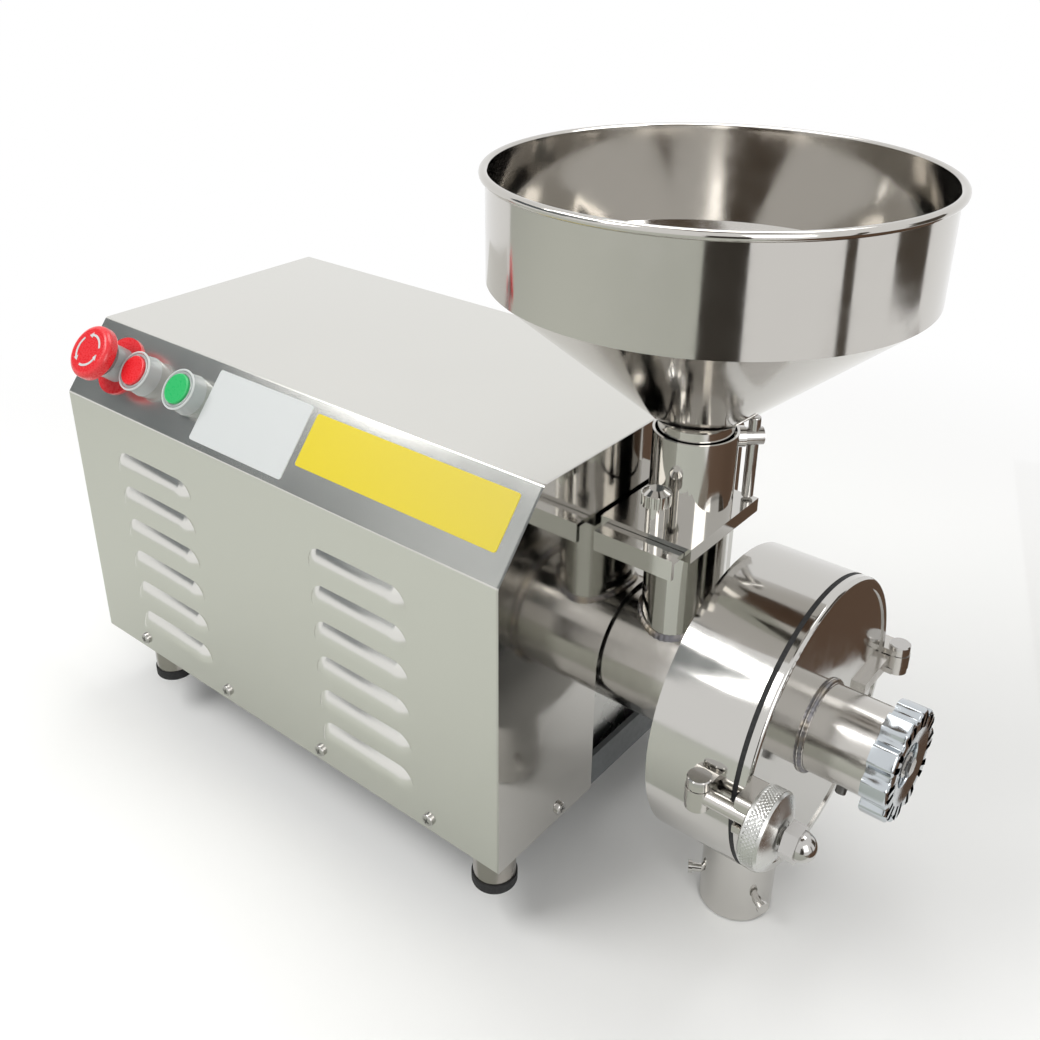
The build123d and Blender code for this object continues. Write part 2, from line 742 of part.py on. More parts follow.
def clamp_plane(reach):
    """Plane square to the hopper clamp screw, at a distance from the collar's axis."""
    angle = math.radians(CLAMP_ANGLE)
    direction = Vector(math.cos(angle), math.sin(angle), 0)
    origin = Vector(FEED_X, 0, COLLAR_TOP_Z - CLAMP_DROP) + direction * reach
    return Plane(origin=origin, x_dir=(0, 0, 1), z_dir=direction)


def hopper_clamp_screw():
    """Screw through the collar's boss, with a cross-drilled head."""
    start = SPOUT_R + SEAT_GAP
    head_at = COLLAR_R + CLAMP_BOSS_L + SEAT_GAP
    screw = clamp_plane(start) * standing(CLAMP_SCREW_R, head_at - start)
    screw += clamp_plane(head_at) * standing(CLAMP_HEAD_R, CLAMP_HEAD_L)
    middle = clamp_plane(head_at + CLAMP_HEAD_L / 2).origin
    return screw - post(CLAMP_BAR_R, 4 * CLAMP_HEAD_R, middle.X, middle.Y, middle.Z - 2 * CLAMP_HEAD_R)


def hopper_clamp_bar():
    """Tommy bar through the clamp screw's head."""
    middle = clamp_plane(COLLAR_R + CLAMP_BOSS_L + SEAT_GAP + CLAMP_HEAD_L / 2).origin
    height = CLAMP_BAR_UP + CLAMP_BAR_DOWN
    bar = post(CLAMP_BAR_R, height, middle.X, middle.Y, middle.Z - CLAMP_BAR_DOWN)
    return fillet(bar.edges().filter_by(GeomType.CIRCLE), CLAMP_BAR_R / 3)


def gate_lock_screw():
    """Knurled thumbscrew that presses on the slide gate."""
    low = GATE_TOP_Z + SEAT_GAP
    stem = post(LOCK_R, GUIDE_TOP_Z + LOCK_RISE - low, FEED_X, LOCK_Y, low)
    face = Circle(LOCK_HEAD_R) - PolarLocations(LOCK_HEAD_R, LOCK_FLUTES) * Circle(LOCK_FLUTE_R)
    head = extrude(face, LOCK_HEAD_H - LOCK_DOME)
    dome = standing_cone(LOCK_HEAD_R - LOCK_FLUTE_R, LOCK_HEAD_R / 2, LOCK_DOME)
    head += Pos(0, 0, LOCK_HEAD_H - LOCK_DOME) * dome
    return stem + Pos(FEED_X, LOCK_Y, GUIDE_TOP_Z + LOCK_RISE) * head


def revolved(section):
    """Turn a section drawn in radius and height about the feed axis."""
    return Pos(FEED_X, 0, 0) * revolve(Plane.XZ * section, Axis.Z)


def hopper_bowl():
    """Straight wall of the hopper with its rolled rim."""
    rim = SHAFT_Z + RIM_H
    foot = SHAFT_Z + BOWL_FOOT_H
    inner = BOWL_R - HOPPER_SHEET
    top = rim - RIM_BEAD
    wall = Polyline((BOWL_R, top), (BOWL_R, foot), (inner, foot), (inner, top), close=True)
    return revolved(make_face(wall) + Pos(RIM_R - RIM_BEAD, top) * Circle(RIM_BEAD))


def hopper_cone():
    """Cone from the straight wall down to the spout."""
    foot = SHAFT_Z + BOWL_FOOT_H
    low = SHAFT_Z + CONE_FOOT_H
    slant = math.hypot(BOWL_R - SPOUT_R, foot - low)
    across = HOPPER_SHEET * slant / (foot - low)
    outside = ((BOWL_R, foot), (SPOUT_R, low))
    inside = ((SPOUT_R - across, low), (BOWL_R - across, foot))
    return revolved(make_face(Polyline(*outside, *inside, close=True)))


def hopper_spout():
    """Tube under the cone that drops into the collar."""
    low = GUIDE_TOP_Z + SEAT_GAP
    height = SHAFT_Z + CONE_FOOT_H - low
    return post(SPOUT_R, height, FEED_X, 0, low) - post(SPOUT_R - HOPPER_SHEET, height, FEED_X, 0, low)


def grinding_drum():
    """Round drum around the stones, open towards the cover, with a hole into the outlet."""
    drum = rod(DRUM_R, DRUM_L, DRUM_X)
    drum -= rod(DRUM_R - DRUM_WALL, DRUM_L, DRUM_X + DRUM_BACK_T)
    drum -= rod(INNER_TUBE_R, DRUM_L, DRUM_X - DRUM_BACK_T)
    return drum - post(OUTLET_R - OUTLET_WALL, SHAFT_Z, OUTLET_X, OUTLET_Y, 0)


def drum_gasket():
    """Black ring between the drum and its cover."""
    return ring(DRUM_R - SEAT_GAP, DRUM_R - GASKET_W, GASKET_T, DRUM_FRONT_X)


def drum_cover():
    """Polished cover disc with a rounded rim that stands proud of its flat face."""
    disc = rod(DRUM_R, COVER_T, COVER_X)
    disc = fillet(disc.edges().filter_by(GeomType.CIRCLE).sort_by(Axis.X)[-1], COVER_EDGE_R)
    disc -= rod(DRUM_R - COVER_RIM_W, COVER_T, COVER_FACE_X)
    return disc - rod(NECK_R - NECK_WALL, 3 * COVER_T, COVER_X - COVER_T)


def cover_neck():
    """Neck with a weld bead at its foot, hollow behind its threaded end, with the hole of its set screw."""
    neck = rod(NECK_R, NECK_END_X - COVER_FACE_X, COVER_FACE_X)
    bead = standing_cone(NECK_R + NECK_WELD, NECK_R, NECK_WELD)
    neck += Pos(COVER_FACE_X, 0, SHAFT_Z) * Rot(0, 90, 0) * bead
    neck -= rod(SPINDLE_R + THREAD_GAP, 2 * NECK_L, COVER_X)
    neck -= rod(NECK_R - NECK_WALL, NECK_END_X - BUSH_L - COVER_X, COVER_X)
    return neck - set_screw_plane() * standing(SET_SCREW_R, 2 * NECK_R)


def set_screw_plane():
    """Plane through the spindle's surface, square to the set screw, facing down and to the front."""
    angle = math.radians(SET_SCREW_ANGLE)
    direction = Vector(0, -math.sin(angle), -math.cos(angle))
    origin = Vector(COVER_FRONT_X + SET_SCREW_X, 0, SHAFT_Z) + direction * (SPINDLE_R + SEAT_GAP)
    return Plane(origin=origin, x_dir=(1, 0, 0), z_dir=direction)


def neck_set_screw():
    """Set screw under the neck that locks the spindle's thread."""
    length = NECK_R + SET_SCREW_OUT - SPINDLE_R - SEAT_GAP
    screw = standing(SET_SCREW_R, length)
    return set_screw_plane() * chamfer(screw.edges().group_by(Axis.Z)[-1], SET_SCREW_R / 5)


def millstone(x, thickness, face_at):
    """Ring-shaped millstone with straight furrows in its grinding face."""
    stone = ring(STONE_R, STONE_EYE_R, thickness, x)
    inward = x if face_at == "near" else x + thickness - GROOVE_DEPTH
    for index in range(GROOVES):
        turn = Pos(0, 0, SHAFT_Z) * Rot(360.0 / GROOVES * index, 0, 0)
        side = STONE_EYE_R / 2
        furrow = block(inward, inward + GROOVE_DEPTH, side, side + GROOVE_W, 0, STONE_R + GROOVE_W)
        stone -= turn * furrow
    return stone


def stone_carrier():
    """Disc on the mill shaft that drives the rotating stone."""
    carrier = ring(CARRIER_R, SHAFT_R, CARRIER_T, CARRIER_X)
    window = Rot(0, 90, 0) * Cylinder(CARRIER_WINDOW_R, 4 * CARRIER_T)
    window = Pos(CARRIER_X, 0, (CARRIER_R + SHAFT_R) / 2) * window
    for index in range(CARRIER_WINDOWS):
        carrier -= Pos(0, 0, SHAFT_Z) * Rot(360.0 / CARRIER_WINDOWS * (index + 0.5), 0, 0) * window
    return carrier


def stone_holder():
    """Plate that carries the fixed stone and is pushed by the spindle."""
    return rod(STONE_R - HOLDER_INSET, HOLDER_T, HOLDER_X)


def adjust_spindle():
    """Threaded spindle from the stone holder to the handwheel."""
    start = HOLDER_X + HOLDER_T
    return rod(SPINDLE_R, WHEEL_X + WHEEL_T - WHEEL_RECESS - start, start)


def handwheel():
    """Lobed handwheel with a recess round its centre bolt."""
    notch = WHEEL_R + WHEEL_NOTCH_R - WHEEL_NOTCH_DEPTH
    face = Circle(WHEEL_R) - PolarLocations(notch, WHEEL_LOBES) * Circle(WHEEL_NOTCH_R)
    face = fillet(face.vertices(), WHEEL_NOTCH_R / 3)
    wheel = extrude(on_yz(Pos(0, SHAFT_Z) * face, WHEEL_X), WHEEL_T)
    wheel = chamfer(wheel.faces().sort_by(Axis.X)[-1].edges(), WHEEL_EDGE_R)
    wheel -= rod(WHEEL_RECESS_R, WHEEL_RECESS * 2, WHEEL_X + WHEEL_T - WHEEL_RECESS)
    return wheel - rod(SPINDLE_R, WHEEL_T, WHEEL_X)


def handwheel_bolt():
    """Hexagon bolt head and washer in the wheel's recess."""
    x = WHEEL_X + WHEEL_T - WHEEL_RECESS
    washer = rod(WHEEL_WASHER_R, WHEEL_WASHER_T, x)
    hexagon = RegularPolygon(WHEEL_BOLT_AF / 2, 6, major_radius=False)
    return washer + extrude(on_yz(Pos(0, SHAFT_Z) * hexagon, x + WHEEL_WASHER_T), WHEEL_BOLT_T)


def clamp_bracket():
    """Two ears on the drum, above and below the eye of the swing bolt, as one group."""
    low = CLAMP_Z - EYE_T / 2 - SEAT_GAP - EAR_T
    height = EYE_T + 2 * (SEAT_GAP + EAR_T)
    ears = post(EAR_R, height, PIVOT_X, -BOLT_Y, low)
    ears += block(PIVOT_X - EAR_R, PIVOT_X + EAR_R, -BOLT_Y, -DRUM_R + DRUM_WALL, low, low + height)
    ears -= rod(DRUM_R, 6 * EAR_R, PIVOT_X - 3 * EAR_R)
    half = EYE_T / 2 + SEAT_GAP
    wide = 3 * EAR_R
    ears -= block(PIVOT_X - wide, PIVOT_X + wide, -BOLT_Y - wide, 0, CLAMP_Z - half, CLAMP_Z + half)
    return ears - post(PIVOT_R, height * 2, PIVOT_X, -BOLT_Y, low - height / 2)


def headed_pin(x, y, middle, height):
    """Upright pivot pin with a flat round head, and a lower end that stands out a little."""
    low = middle - height / 2 - PIN_END
    pin = post(PIVOT_R, height + PIN_END, x, y, low)
    head = standing(PIN_HEAD_R, PIN_HEAD_T)
    head = chamfer(head.edges().group_by(Axis.Z)[-1], PIN_HEAD_T / 4)
    return pin + Pos(x, y, middle + height / 2) * head


def clamp_pin():
    """Pivot pin through the ears."""
    return headed_pin(PIVOT_X, -BOLT_Y, CLAMP_Z, EYE_T + 2 * (SEAT_GAP + EAR_T))


def eye_bolt():
    """Swing bolt with its eye on the pivot pin."""
    bolt = post(EYE_R, EYE_T, PIVOT_X, -BOLT_Y, CLAMP_Z - EYE_T / 2)
    bolt += rod(BOLT_R, ACORN_X - PIVOT_X, PIVOT_X, -BOLT_Y, CLAMP_Z)
    return bolt - post(PIVOT_R + RUN_GAP, EYE_T * 2, PIVOT_X, -BOLT_Y, CLAMP_Z - EYE_T)


def acorn_nut():
    """Domed cap nut on the end of the swing bolt."""
    hexagon = RegularPolygon(ACORN_AF / 2, 6, major_radius=False)
    nut = extrude(on_yz(Pos(-BOLT_Y, CLAMP_Z) * hexagon, ACORN_X), ACORN_HEX_L)
    dome = Pos(ACORN_X + ACORN_HEX_L, -BOLT_Y, CLAMP_Z) * Sphere(ACORN_R)
    return nut + (dome - block(0, ACORN_X + ACORN_HEX_L, -2 * BOLT_Y, 0, 0, 2 * SHAFT_Z))


def clamp_washer():
    """Washer between the cover's lug and the hand nut."""
    return ring(WASHER_R, BOLT_R + RUN_GAP, WASHER_T, WASHER_X, -BOLT_Y, CLAMP_Z)


def hand_nut():
    """Knurled hand nut: a disc with chamfered edges and a cone towards the cap nut."""
    disc = standing(NUT_R, NUT_DISC_T)
    disc = chamfer(disc.edges().filter_by(GeomType.CIRCLE), NUT_EDGE)
    cone = standing_cone(NUT_R - 2 * NUT_EDGE, NUT_HUB_R, NUT_T - NUT_DISC_T)
    nut = Pos(NUT_X, -BOLT_Y, CLAMP_Z) * Rot(0, 90, 0) * (disc + Pos(0, 0, NUT_DISC_T) * cone)
    return nut - rod(BOLT_R + THREAD_GAP, 3 * NUT_T, NUT_X - NUT_T, -BOLT_Y, CLAMP_Z)


def cover_lug():
    """Forked lug on the cover that the swing bolt drops into."""
    y0 = -BOLT_Y - LUG_BEYOND
    z0 = CLAMP_Z - LUG_H / 2
    lug = block(COVER_FACE_X, LUG_FRONT_X, y0, y0 + LUG_INBOARD, z0, z0 + LUG_H)
    lug = fillet(lug.edges().filter_by(Axis.X), LUG_CORNER_R)
    half = BOLT_R + SLOT_CLEAR
    x0 = COVER_FRONT_X - LUG_T
    lug -= rod(half, 3 * LUG_T, x0, -BOLT_Y, CLAMP_Z)
    lug -= block(x0, x0 + 3 * LUG_T, y0 - LUG_T, -BOLT_Y, CLAMP_Z - half, CLAMP_Z + half)
    return lug - drum_cover()


def hinge_bracket():
    """Two arms from the back of the drum past the cover's rim to the hinge pin."""
    low = HINGE_Z - EYE_T / 2 - SEAT_GAP - EAR_T
    height = EYE_T + 2 * (SEAT_GAP + EAR_T)
    inner = DRUM_R + SEAT_GAP
    arms = post(EAR_R, height, HINGE_X, HINGE_Y, low)
    arms += block(HINGE_FOOT_X, HINGE_X, inner, HINGE_Y + EAR_R, low, low + height)
    half = EYE_T / 2 + SEAT_GAP
    front = HINGE_X + 2 * EAR_R
    arms -= block(DRUM_FRONT_X - EAR_T, front, 0, 2 * HINGE_Y, HINGE_Z - half, HINGE_Z + half)
    arms += block(HINGE_FOOT_X, DRUM_FRONT_X - EAR_T, DRUM_R - DRUM_WALL, inner, low, low + height)
    arms -= rod(DRUM_R, 2 * HINGE_X, HINGE_FOOT_X - HINGE_X)
    return arms - post(PIVOT_R, height * 2, HINGE_X, HINGE_Y, low - height / 2)


def hinge_leaf():
    """Strap on the cover's face with the knuckle that turns on the hinge pin."""
    half = EYE_T / 2
    outline = Polyline(
        (HINGE_Y, HINGE_Z - half),
        (HINGE_Y, HINGE_Z + half),
        (HINGE_TIP_Y, HINGE_Z + half * HINGE_TAPER),
        (HINGE_TIP_Y, HINGE_Z - half * HINGE_TAPER),
        close=True,
    )
    leaf = extrude(on_yz(make_face(outline), COVER_FACE_X), HINGE_LEAF_T)
    leaf += post(EYE_R, EYE_T, HINGE_X, HINGE_Y, HINGE_Z - half)
    leaf -= post(PIVOT_R + RUN_GAP, EYE_T * 2, HINGE_X, HINGE_Y, HINGE_Z - EYE_T)
    return leaf - drum_cover()


def hinge_pin():
    """Pin of the cover's hinge."""
    return headed_pin(HINGE_X, HINGE_Y, HINGE_Z, EYE_T + 2 * (SEAT_GAP + EAR_T))


def outlet_spout():
    """Outlet tube under the drum, with two nubs for the bag's cord."""
    height = SHAFT_Z + OUTLET_BELOW
    tube = post(OUTLET_R, height, OUTLET_X, OUTLET_Y, -OUTLET_BELOW)
    nub = standing(NUB_R, OUTLET_R + NUB_L)
    nub += Pos(0, 0, OUTLET_R + NUB_L) * standing(NUB_HEAD_R, NUB_HEAD_T)
    for angle in NUB_ANGLES:
        tube += Pos(OUTLET_X, OUTLET_Y, -OUTLET_BELOW + NUB_UP) * Rot(0, 0, angle) * Rot(0, 90, 0) * nub
    tube -= post(OUTLET_R - OUTLET_WALL, 3 * height, OUTLET_X, OUTLET_Y, -height)
    return tube - rod(DRUM_R, 4 * OUTLET_R, OUTLET_X - 2 * OUTLET_R)


def panel_disc(x, rise, radius, height, top=None):
    """Round piece standing on the sloping panel, straight or tapering to its top radius."""
    solid = standing(radius, height) if top is None else standing_cone(radius, top, height)
    return panel_plane(x, rise) * solid


def estop_ring():
    """Red ring plate round the emergency stop, cut clear of the stop button."""
    disc = panel_disc(ESTOP_X, 0, ESTOP_RING_R, ESTOP_RING_T)
    disc -= panel_disc(ESTOP_X, -CUT_PAST, ESTOP_NECK_R + SEAT_GAP, 4 * ESTOP_RING_T)
    return disc - panel_disc(STOP_X, -CUT_PAST, BEZEL_R + SEAT_GAP, 4 * ESTOP_RING_T)


def estop_collar():
    """Fixed collar round the emergency stop's plunger."""
    collar = panel_disc(ESTOP_X, ESTOP_RING_T, ESTOP_STEM_R, ESTOP_STEM_H - ESTOP_RING_T)
    return collar - panel_disc(ESTOP_X, -CUT_PAST, ESTOP_NECK_R + SEAT_GAP, 3 * ESTOP_STEM_H)


def estop_plunger():
    """Plunger that the red head turns on."""
    low = -4 * SHEET
    return panel_disc(ESTOP_X, low, ESTOP_NECK_R, ESTOP_STEM_H + ESTOP_TRAVEL + ESTOP_CLEAR - low)


def estop_head():
    """Red mushroom head."""
    head = standing(ESTOP_HEAD_R, ESTOP_HEAD_H)
    head = fillet(head.edges().group_by(Axis.Z)[-1], ESTOP_TOP_R)
    head = fillet(head.edges().group_by(Axis.Z)[0], ESTOP_EDGE_R)
    return panel_plane(ESTOP_X, ESTOP_STEM_H + ESTOP_TRAVEL + ESTOP_CLEAR + SEAT_GAP) * head


def button_bezel(x):
    """Clear bezel round a push button."""
    bezel = panel_disc(x, 0, BEZEL_R, BEZEL_H, BEZEL_TOP_R)
    return bezel - panel_disc(x, -CUT_PAST, CAP_R + SEAT_GAP, 2 * BEZEL_H)


def button_cap(x):
    """Push button cap inside its bezel."""
    height = BEZEL_H + CAP_RISE
    cap = standing(CAP_R, height)
    cap = fillet(cap.edges().group_by(Axis.Z)[-1], CAP_RISE / 2)
    return panel_plane(x, 0) * cap


def build():
    """Every node of the mill, by name."""
    return {
        "base_frame": base_frame(),
        "housing_cover": housing_cover(),
        "end_plate_right": end_plate_right(),
        "end_plate_left": end_plate_left(),
        "feet": feet(),
        "foot_pads": foot_pads(),
        "housing_screws": housing_screws(),
        "cable_glands": cable_glands(),
        "bearing_seat": bearing_seat(),
        "motor_housing": motor_housing(),
        "motor_end_bells": motor_end_bells(),
        "motor_rotor": motor_rotor(),
        "motor_fan_cowl": motor_fan_cowl(),
        "motor_fan": motor_fan(),
        "motor_shaft": motor_shaft(),
        "shaft_coupling": coupling(),
        "mill_shaft": mill_shaft(),
        "ball_bearings": ball_bearings(),
        "shaft_seal": shaft_seal(),
        "shaft_tube": shaft_tube(),
        "feed_tube": feed_tube(),
        "feed_screw": feed_screw(),
        "gate_guide": gate_guide(),
        "slide_gate": slide_gate(),
        "hopper_collar": hopper_collar(),
        "hopper_clamp_screw": hopper_clamp_screw(),
        "hopper_clamp_bar": hopper_clamp_bar(),
        "gate_lock_screw": gate_lock_screw(),
        "hopper_bowl": hopper_bowl(),
        "hopper_cone": hopper_cone(),
        "hopper_spout": hopper_spout(),
        "grinding_drum": grinding_drum(),
        "drum_gasket": drum_gasket(),
        "drum_cover": drum_cover(),
        "cover_neck": cover_neck(),
        "neck_set_screw": neck_set_screw(),
        "stone_carrier": stone_carrier(),
        "rotating_stone": millstone(ROTATING_STONE_X, ROTATING_STONE_T, "far"),
        "fixed_stone": millstone(FIXED_STONE_X, FIXED_STONE_T, "near"),
        "stone_holder": stone_holder(),
        "adjust_spindle": adjust_spindle(),
        "handwheel": handwheel(),
        "handwheel_bolt": handwheel_bolt(),
        "clamp_bracket": clamp_bracket(),
        "pivot_pins": Compound([clamp_pin(), hinge_pin()]),
        "cover_lug": cover_lug(),
        "swing_bolt": eye_bolt(),
        "acorn_nut": acorn_nut(),
        "clamp_washer": clamp_washer(),
        "hand_nut": hand_nut(),
        "hinge_bracket": hinge_bracket(),
        "hinge_leaf": hinge_leaf(),
        "outlet_spout": outlet_spout(),
        "estop_ring": estop_ring(),
        "estop_collar": estop_collar(),
        "estop_plunger": estop_plunger(),
        "estop_head": estop_head(),
        "button_bezels": Compound([button_bezel(STOP_X), button_bezel(START_X)]),
        "stop_button": button_cap(STOP_X),
        "start_button": button_cap(START_X),
    }


def main():
    """Write one STEP file for each node."""
    os.makedirs("parts", exist_ok=True)
    for name, shape in build().items():
        export_step(shape, f"parts/{name}.step")


main()
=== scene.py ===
# %% [markdown]
# # An electric stone mill in polished stainless steel
# The construction comes packed as a frame: every solid is already in place, in metres.
# This lesson gives it its surfaces and its fine forms, the camera and the studio light.

# %% Load the frame
import math

import bmesh
import bpy
from mathutils import Matrix, Vector


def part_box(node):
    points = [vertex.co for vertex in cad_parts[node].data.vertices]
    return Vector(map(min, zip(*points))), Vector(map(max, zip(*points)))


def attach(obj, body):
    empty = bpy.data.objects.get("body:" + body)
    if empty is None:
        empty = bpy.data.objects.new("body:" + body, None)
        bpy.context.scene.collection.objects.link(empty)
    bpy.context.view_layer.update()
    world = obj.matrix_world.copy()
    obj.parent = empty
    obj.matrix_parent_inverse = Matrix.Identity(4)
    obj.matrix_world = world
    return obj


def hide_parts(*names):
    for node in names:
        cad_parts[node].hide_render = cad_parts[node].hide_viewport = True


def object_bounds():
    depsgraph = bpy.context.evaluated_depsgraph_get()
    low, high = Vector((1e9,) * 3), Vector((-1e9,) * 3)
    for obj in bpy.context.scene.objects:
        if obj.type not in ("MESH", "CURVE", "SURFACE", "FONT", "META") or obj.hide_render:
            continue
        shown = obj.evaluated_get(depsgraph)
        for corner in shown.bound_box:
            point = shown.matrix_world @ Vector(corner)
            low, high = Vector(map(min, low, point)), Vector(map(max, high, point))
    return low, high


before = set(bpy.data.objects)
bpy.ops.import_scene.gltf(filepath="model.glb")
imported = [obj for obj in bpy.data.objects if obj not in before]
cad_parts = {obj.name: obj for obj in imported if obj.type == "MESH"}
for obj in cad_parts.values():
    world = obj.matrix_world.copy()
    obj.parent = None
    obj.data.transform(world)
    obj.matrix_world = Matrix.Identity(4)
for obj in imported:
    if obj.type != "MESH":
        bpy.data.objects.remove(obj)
cad_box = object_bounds()
MM = 0.001

# %% [markdown]
# ## Where things are
# Most pieces are round, about one of three axes: the shaft along X, the upright feed axis,
# and the outlet's axis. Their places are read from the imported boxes, so nothing drifts from the frame.

# %% Axes of the mill
def corners_mm(node):
    """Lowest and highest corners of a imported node, in millimetres."""
    low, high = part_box(node)
    return Vector(low) / MM, Vector(high) / MM


drum_low, drum_high = corners_mm("grinding_drum")
bowl_low, bowl_high = corners_mm("hopper_bowl")
cone_low, cone_high = corners_mm("hopper_cone")
spout_low, spout_high = corners_mm("outlet_spout")
wheel_low, wheel_high = corners_mm("handwheel")
nut_low, nut_high = corners_mm("hand_nut")
SHAFT_Z = (drum_low.z + drum_high.z) / 2
FEED_X = (bowl_low.x + bowl_high.x) / 2
OUTLET_X = (spout_low.x + spout_high.x) / 2
OUTLET_Y = (spout_low.y + spout_high.y) / 2
print("shaft axis height", round(SHAFT_Z, 1), "mm; feed axis at x", round(FEED_X, 1), "mm")

# %% [markdown]
# ## Colour and node helpers
# Colours are written as the sRGB hex values that a paint chart would give. One function turns
# them into the linear values that the shaders work in, and one adds a node with its settings.


# %% Helpers for materials
def colour(code):
    """Linear RGBA from an sRGB hex code such as "c8c8c4"."""
    channels = [int(code[i:i + 2], 16) / 255 for i in (0, 2, 4)]
    linear = [c / 12.92 if c <= 0.04045 else ((c + 0.055) / 1.055) ** 2.4 for c in channels]
    return (*linear, 1.0)


def add(tree, kind, links=None, inputs=None, **settings):
    """Add a node, set its properties and sockets, and link sockets to other nodes' outputs."""
    node = tree.nodes.new(kind)
    for name, value in settings.items():
        setattr(node, name, value)
    for name, value in (inputs or {}).items():
        node.inputs[name].default_value = value
    for name, source in (links or {}).items():
        tree.links.new(source, node.inputs[name])
    return node


def new_material(name, code, roughness, metallic=0.0, **sockets):
    """A material with one Principled shader, returned with its tree and shader."""
    material = bpy.data.materials.new(name)
    material.use_nodes = True
    tree = material.node_tree
    shader = tree.nodes["Principled BSDF"]
    shader.inputs["Base Color"].default_value = colour(code)
    shader.inputs["Roughness"].default_value = roughness
    shader.inputs["Metallic"].default_value = metallic
    for name, value in sockets.items():
        shader.inputs[name.replace("_", " ").title()].default_value = value
    material.diffuse_color = colour(code)
    return material, tree, shader


def object_coordinates(tree, scale=(1, 1, 1), rotation=(0, 0, 0), location=(0, 0, 0)):
    """Object coordinates through a Mapping node."""
    place = add(tree, "ShaderNodeTexCoord")
    inputs = {"Scale": scale, "Rotation": rotation, "Location": location}
    return add(tree, "ShaderNodeMapping", {"Vector": place.outputs["Object"]}, inputs).outputs["Vector"]


def vary(tree, shader, socket, source, low, high):
    """Drive a shader socket between two values by a 0 to 1 pattern."""
    inputs = {"From Min": 0.3, "From Max": 0.7, "To Min": low, "To Max": high}
    spread = add(tree, "ShaderNodeMapRange", {"Value": source}, inputs)
    tree.links.new(spread.outputs["Result"], shader.inputs[socket])


def roughen(tree, shader, source, height_mm, strength=1.0):
    """Bump from a pattern, with its height in millimetres."""
    inputs = {"Distance": height_mm * MM, "Strength": strength}
    bump = add(tree, "ShaderNodeBump", {"Height": source}, inputs)
    tree.links.new(bump.outputs["Normal"], shader.inputs["Normal"])


# %% [markdown]
# ## Polished stainless steel
# Tubes, hopper, drum and the right end plate are 304 stainless, buffed until they mirror the room.
# A buffed sheet is never optically flat: it has slow waves of a few centimetres, which bend the
# reflections, and faint polishing lines that follow the wheel round the axis of each turned piece.


# %% Mirror and turned steel
def polished_steel(name, code, roughness, grain_axis, wave_mm=0.02, grain=0.02):
    """Buffed stainless: slow waves bend the reflections, fine lines run round or along an axis."""
    material, tree, shader = new_material(name, code, roughness, 1.0)
    still = object_coordinates(tree)
    waves = add(tree, "ShaderNodeTexNoise", {"Vector": still}, {"Scale": 28.0, "Detail": 1.0})
    stretch = {"x": (12, 2400, 2400), "round_z": (14, 14, 2600), "round_x": (2600, 14, 14)}[grain_axis]
    stretched = object_coordinates(tree, stretch)
    lines = add(tree, "ShaderNodeTexNoise", {"Vector": stretched}, {"Scale": 1.0, "Detail": 2.0})
    smudges = add(tree, "ShaderNodeTexNoise", {"Vector": still}, {"Scale": 55.0, "Detail": 5.0})
    share = add(tree, "ShaderNodeMath", {0: lines.outputs["Fac"]}, {1: grain}, operation="MULTIPLY")
    height = add(tree, "ShaderNodeMath", {0: waves.outputs["Fac"], 1: share.outputs[0]}, operation="ADD")
    roughen(tree, shader, height.outputs[0], wave_mm)
    vary(tree, shader, "Roughness", smudges.outputs["Fac"], roughness * 0.75, roughness * 1.6)
    return material


mirror_steel = polished_steel("mirror polished stainless", "c9c7c3", 0.07, "round_z")
turned_steel = polished_steel("turned stainless", "c4c1bc", 0.16, "round_x", wave_mm=0.01, grain=0.2)
hopper_steel = polished_steel("spun hopper stainless", "c6c3be", 0.08, "round_z", wave_mm=0.015, grain=0.15)
drum_steel = polished_steel("drum stainless", "c6c4c0", 0.08, "round_x", wave_mm=0.012, grain=0.12)
print("polished steels", mirror_steel.name, turned_steel.name)

# %% [markdown]
# ## Satin sheet
# The housing is folded from sheet with a fine lengthwise satin finish and a pale, even look:
# thousands of scratches about 0.1 mm apart. They are drawn 0.4 mm apart here, so that they still show.


# %% Satin sheet
def satin_sheet(name, code, roughness, spacing_mm=0.4):
    """Brushed sheet with its grain along X."""
    material, tree, shader = new_material(name, code, roughness, 1.0)
    lines_per_metre = 1 / (spacing_mm * MM)
    stretched = object_coordinates(tree, (6, lines_per_metre, lines_per_metre))
    lines = add(tree, "ShaderNodeTexNoise", {"Vector": stretched}, {"Scale": 1.0, "Detail": 3.0})
    still = object_coordinates(tree)
    cloud = add(tree, "ShaderNodeTexNoise", {"Vector": still}, {"Scale": 9.0, "Detail": 4.0})
    roughen(tree, shader, lines.outputs["Fac"], 0.006)
    vary(tree, shader, "Roughness", cloud.outputs["Fac"], roughness * 0.85, roughness * 1.15)
    return material


satin_steel = satin_sheet("satin stainless sheet", "dad9d4", 0.22)
print("satin sheet", satin_steel.name)

# %% [markdown]
# ## Plastics, rubber and paint
# Moulded buttons have a gloss skin over an even colour. Rubber is dark and dull, with a little
# dust in its colour. The frame under the housing is grey machine paint with an orange-peel surface.


# %% Plastics, rubber, paint and stone
def moulded(name, code, roughness, peel_mm=0.01, scale=900.0, **sockets):
    """Moulded or painted surface: even colour with a slight grain."""
    material, tree, shader = new_material(name, code, roughness, **sockets)
    still = object_coordinates(tree)
    grain = add(tree, "ShaderNodeTexNoise", {"Vector": still}, {"Scale": scale, "Detail": 2.0})
    roughen(tree, shader, grain.outputs["Fac"], peel_mm)
    vary(tree, shader, "Roughness", grain.outputs["Fac"], roughness * 0.85, roughness * 1.15)
    return material


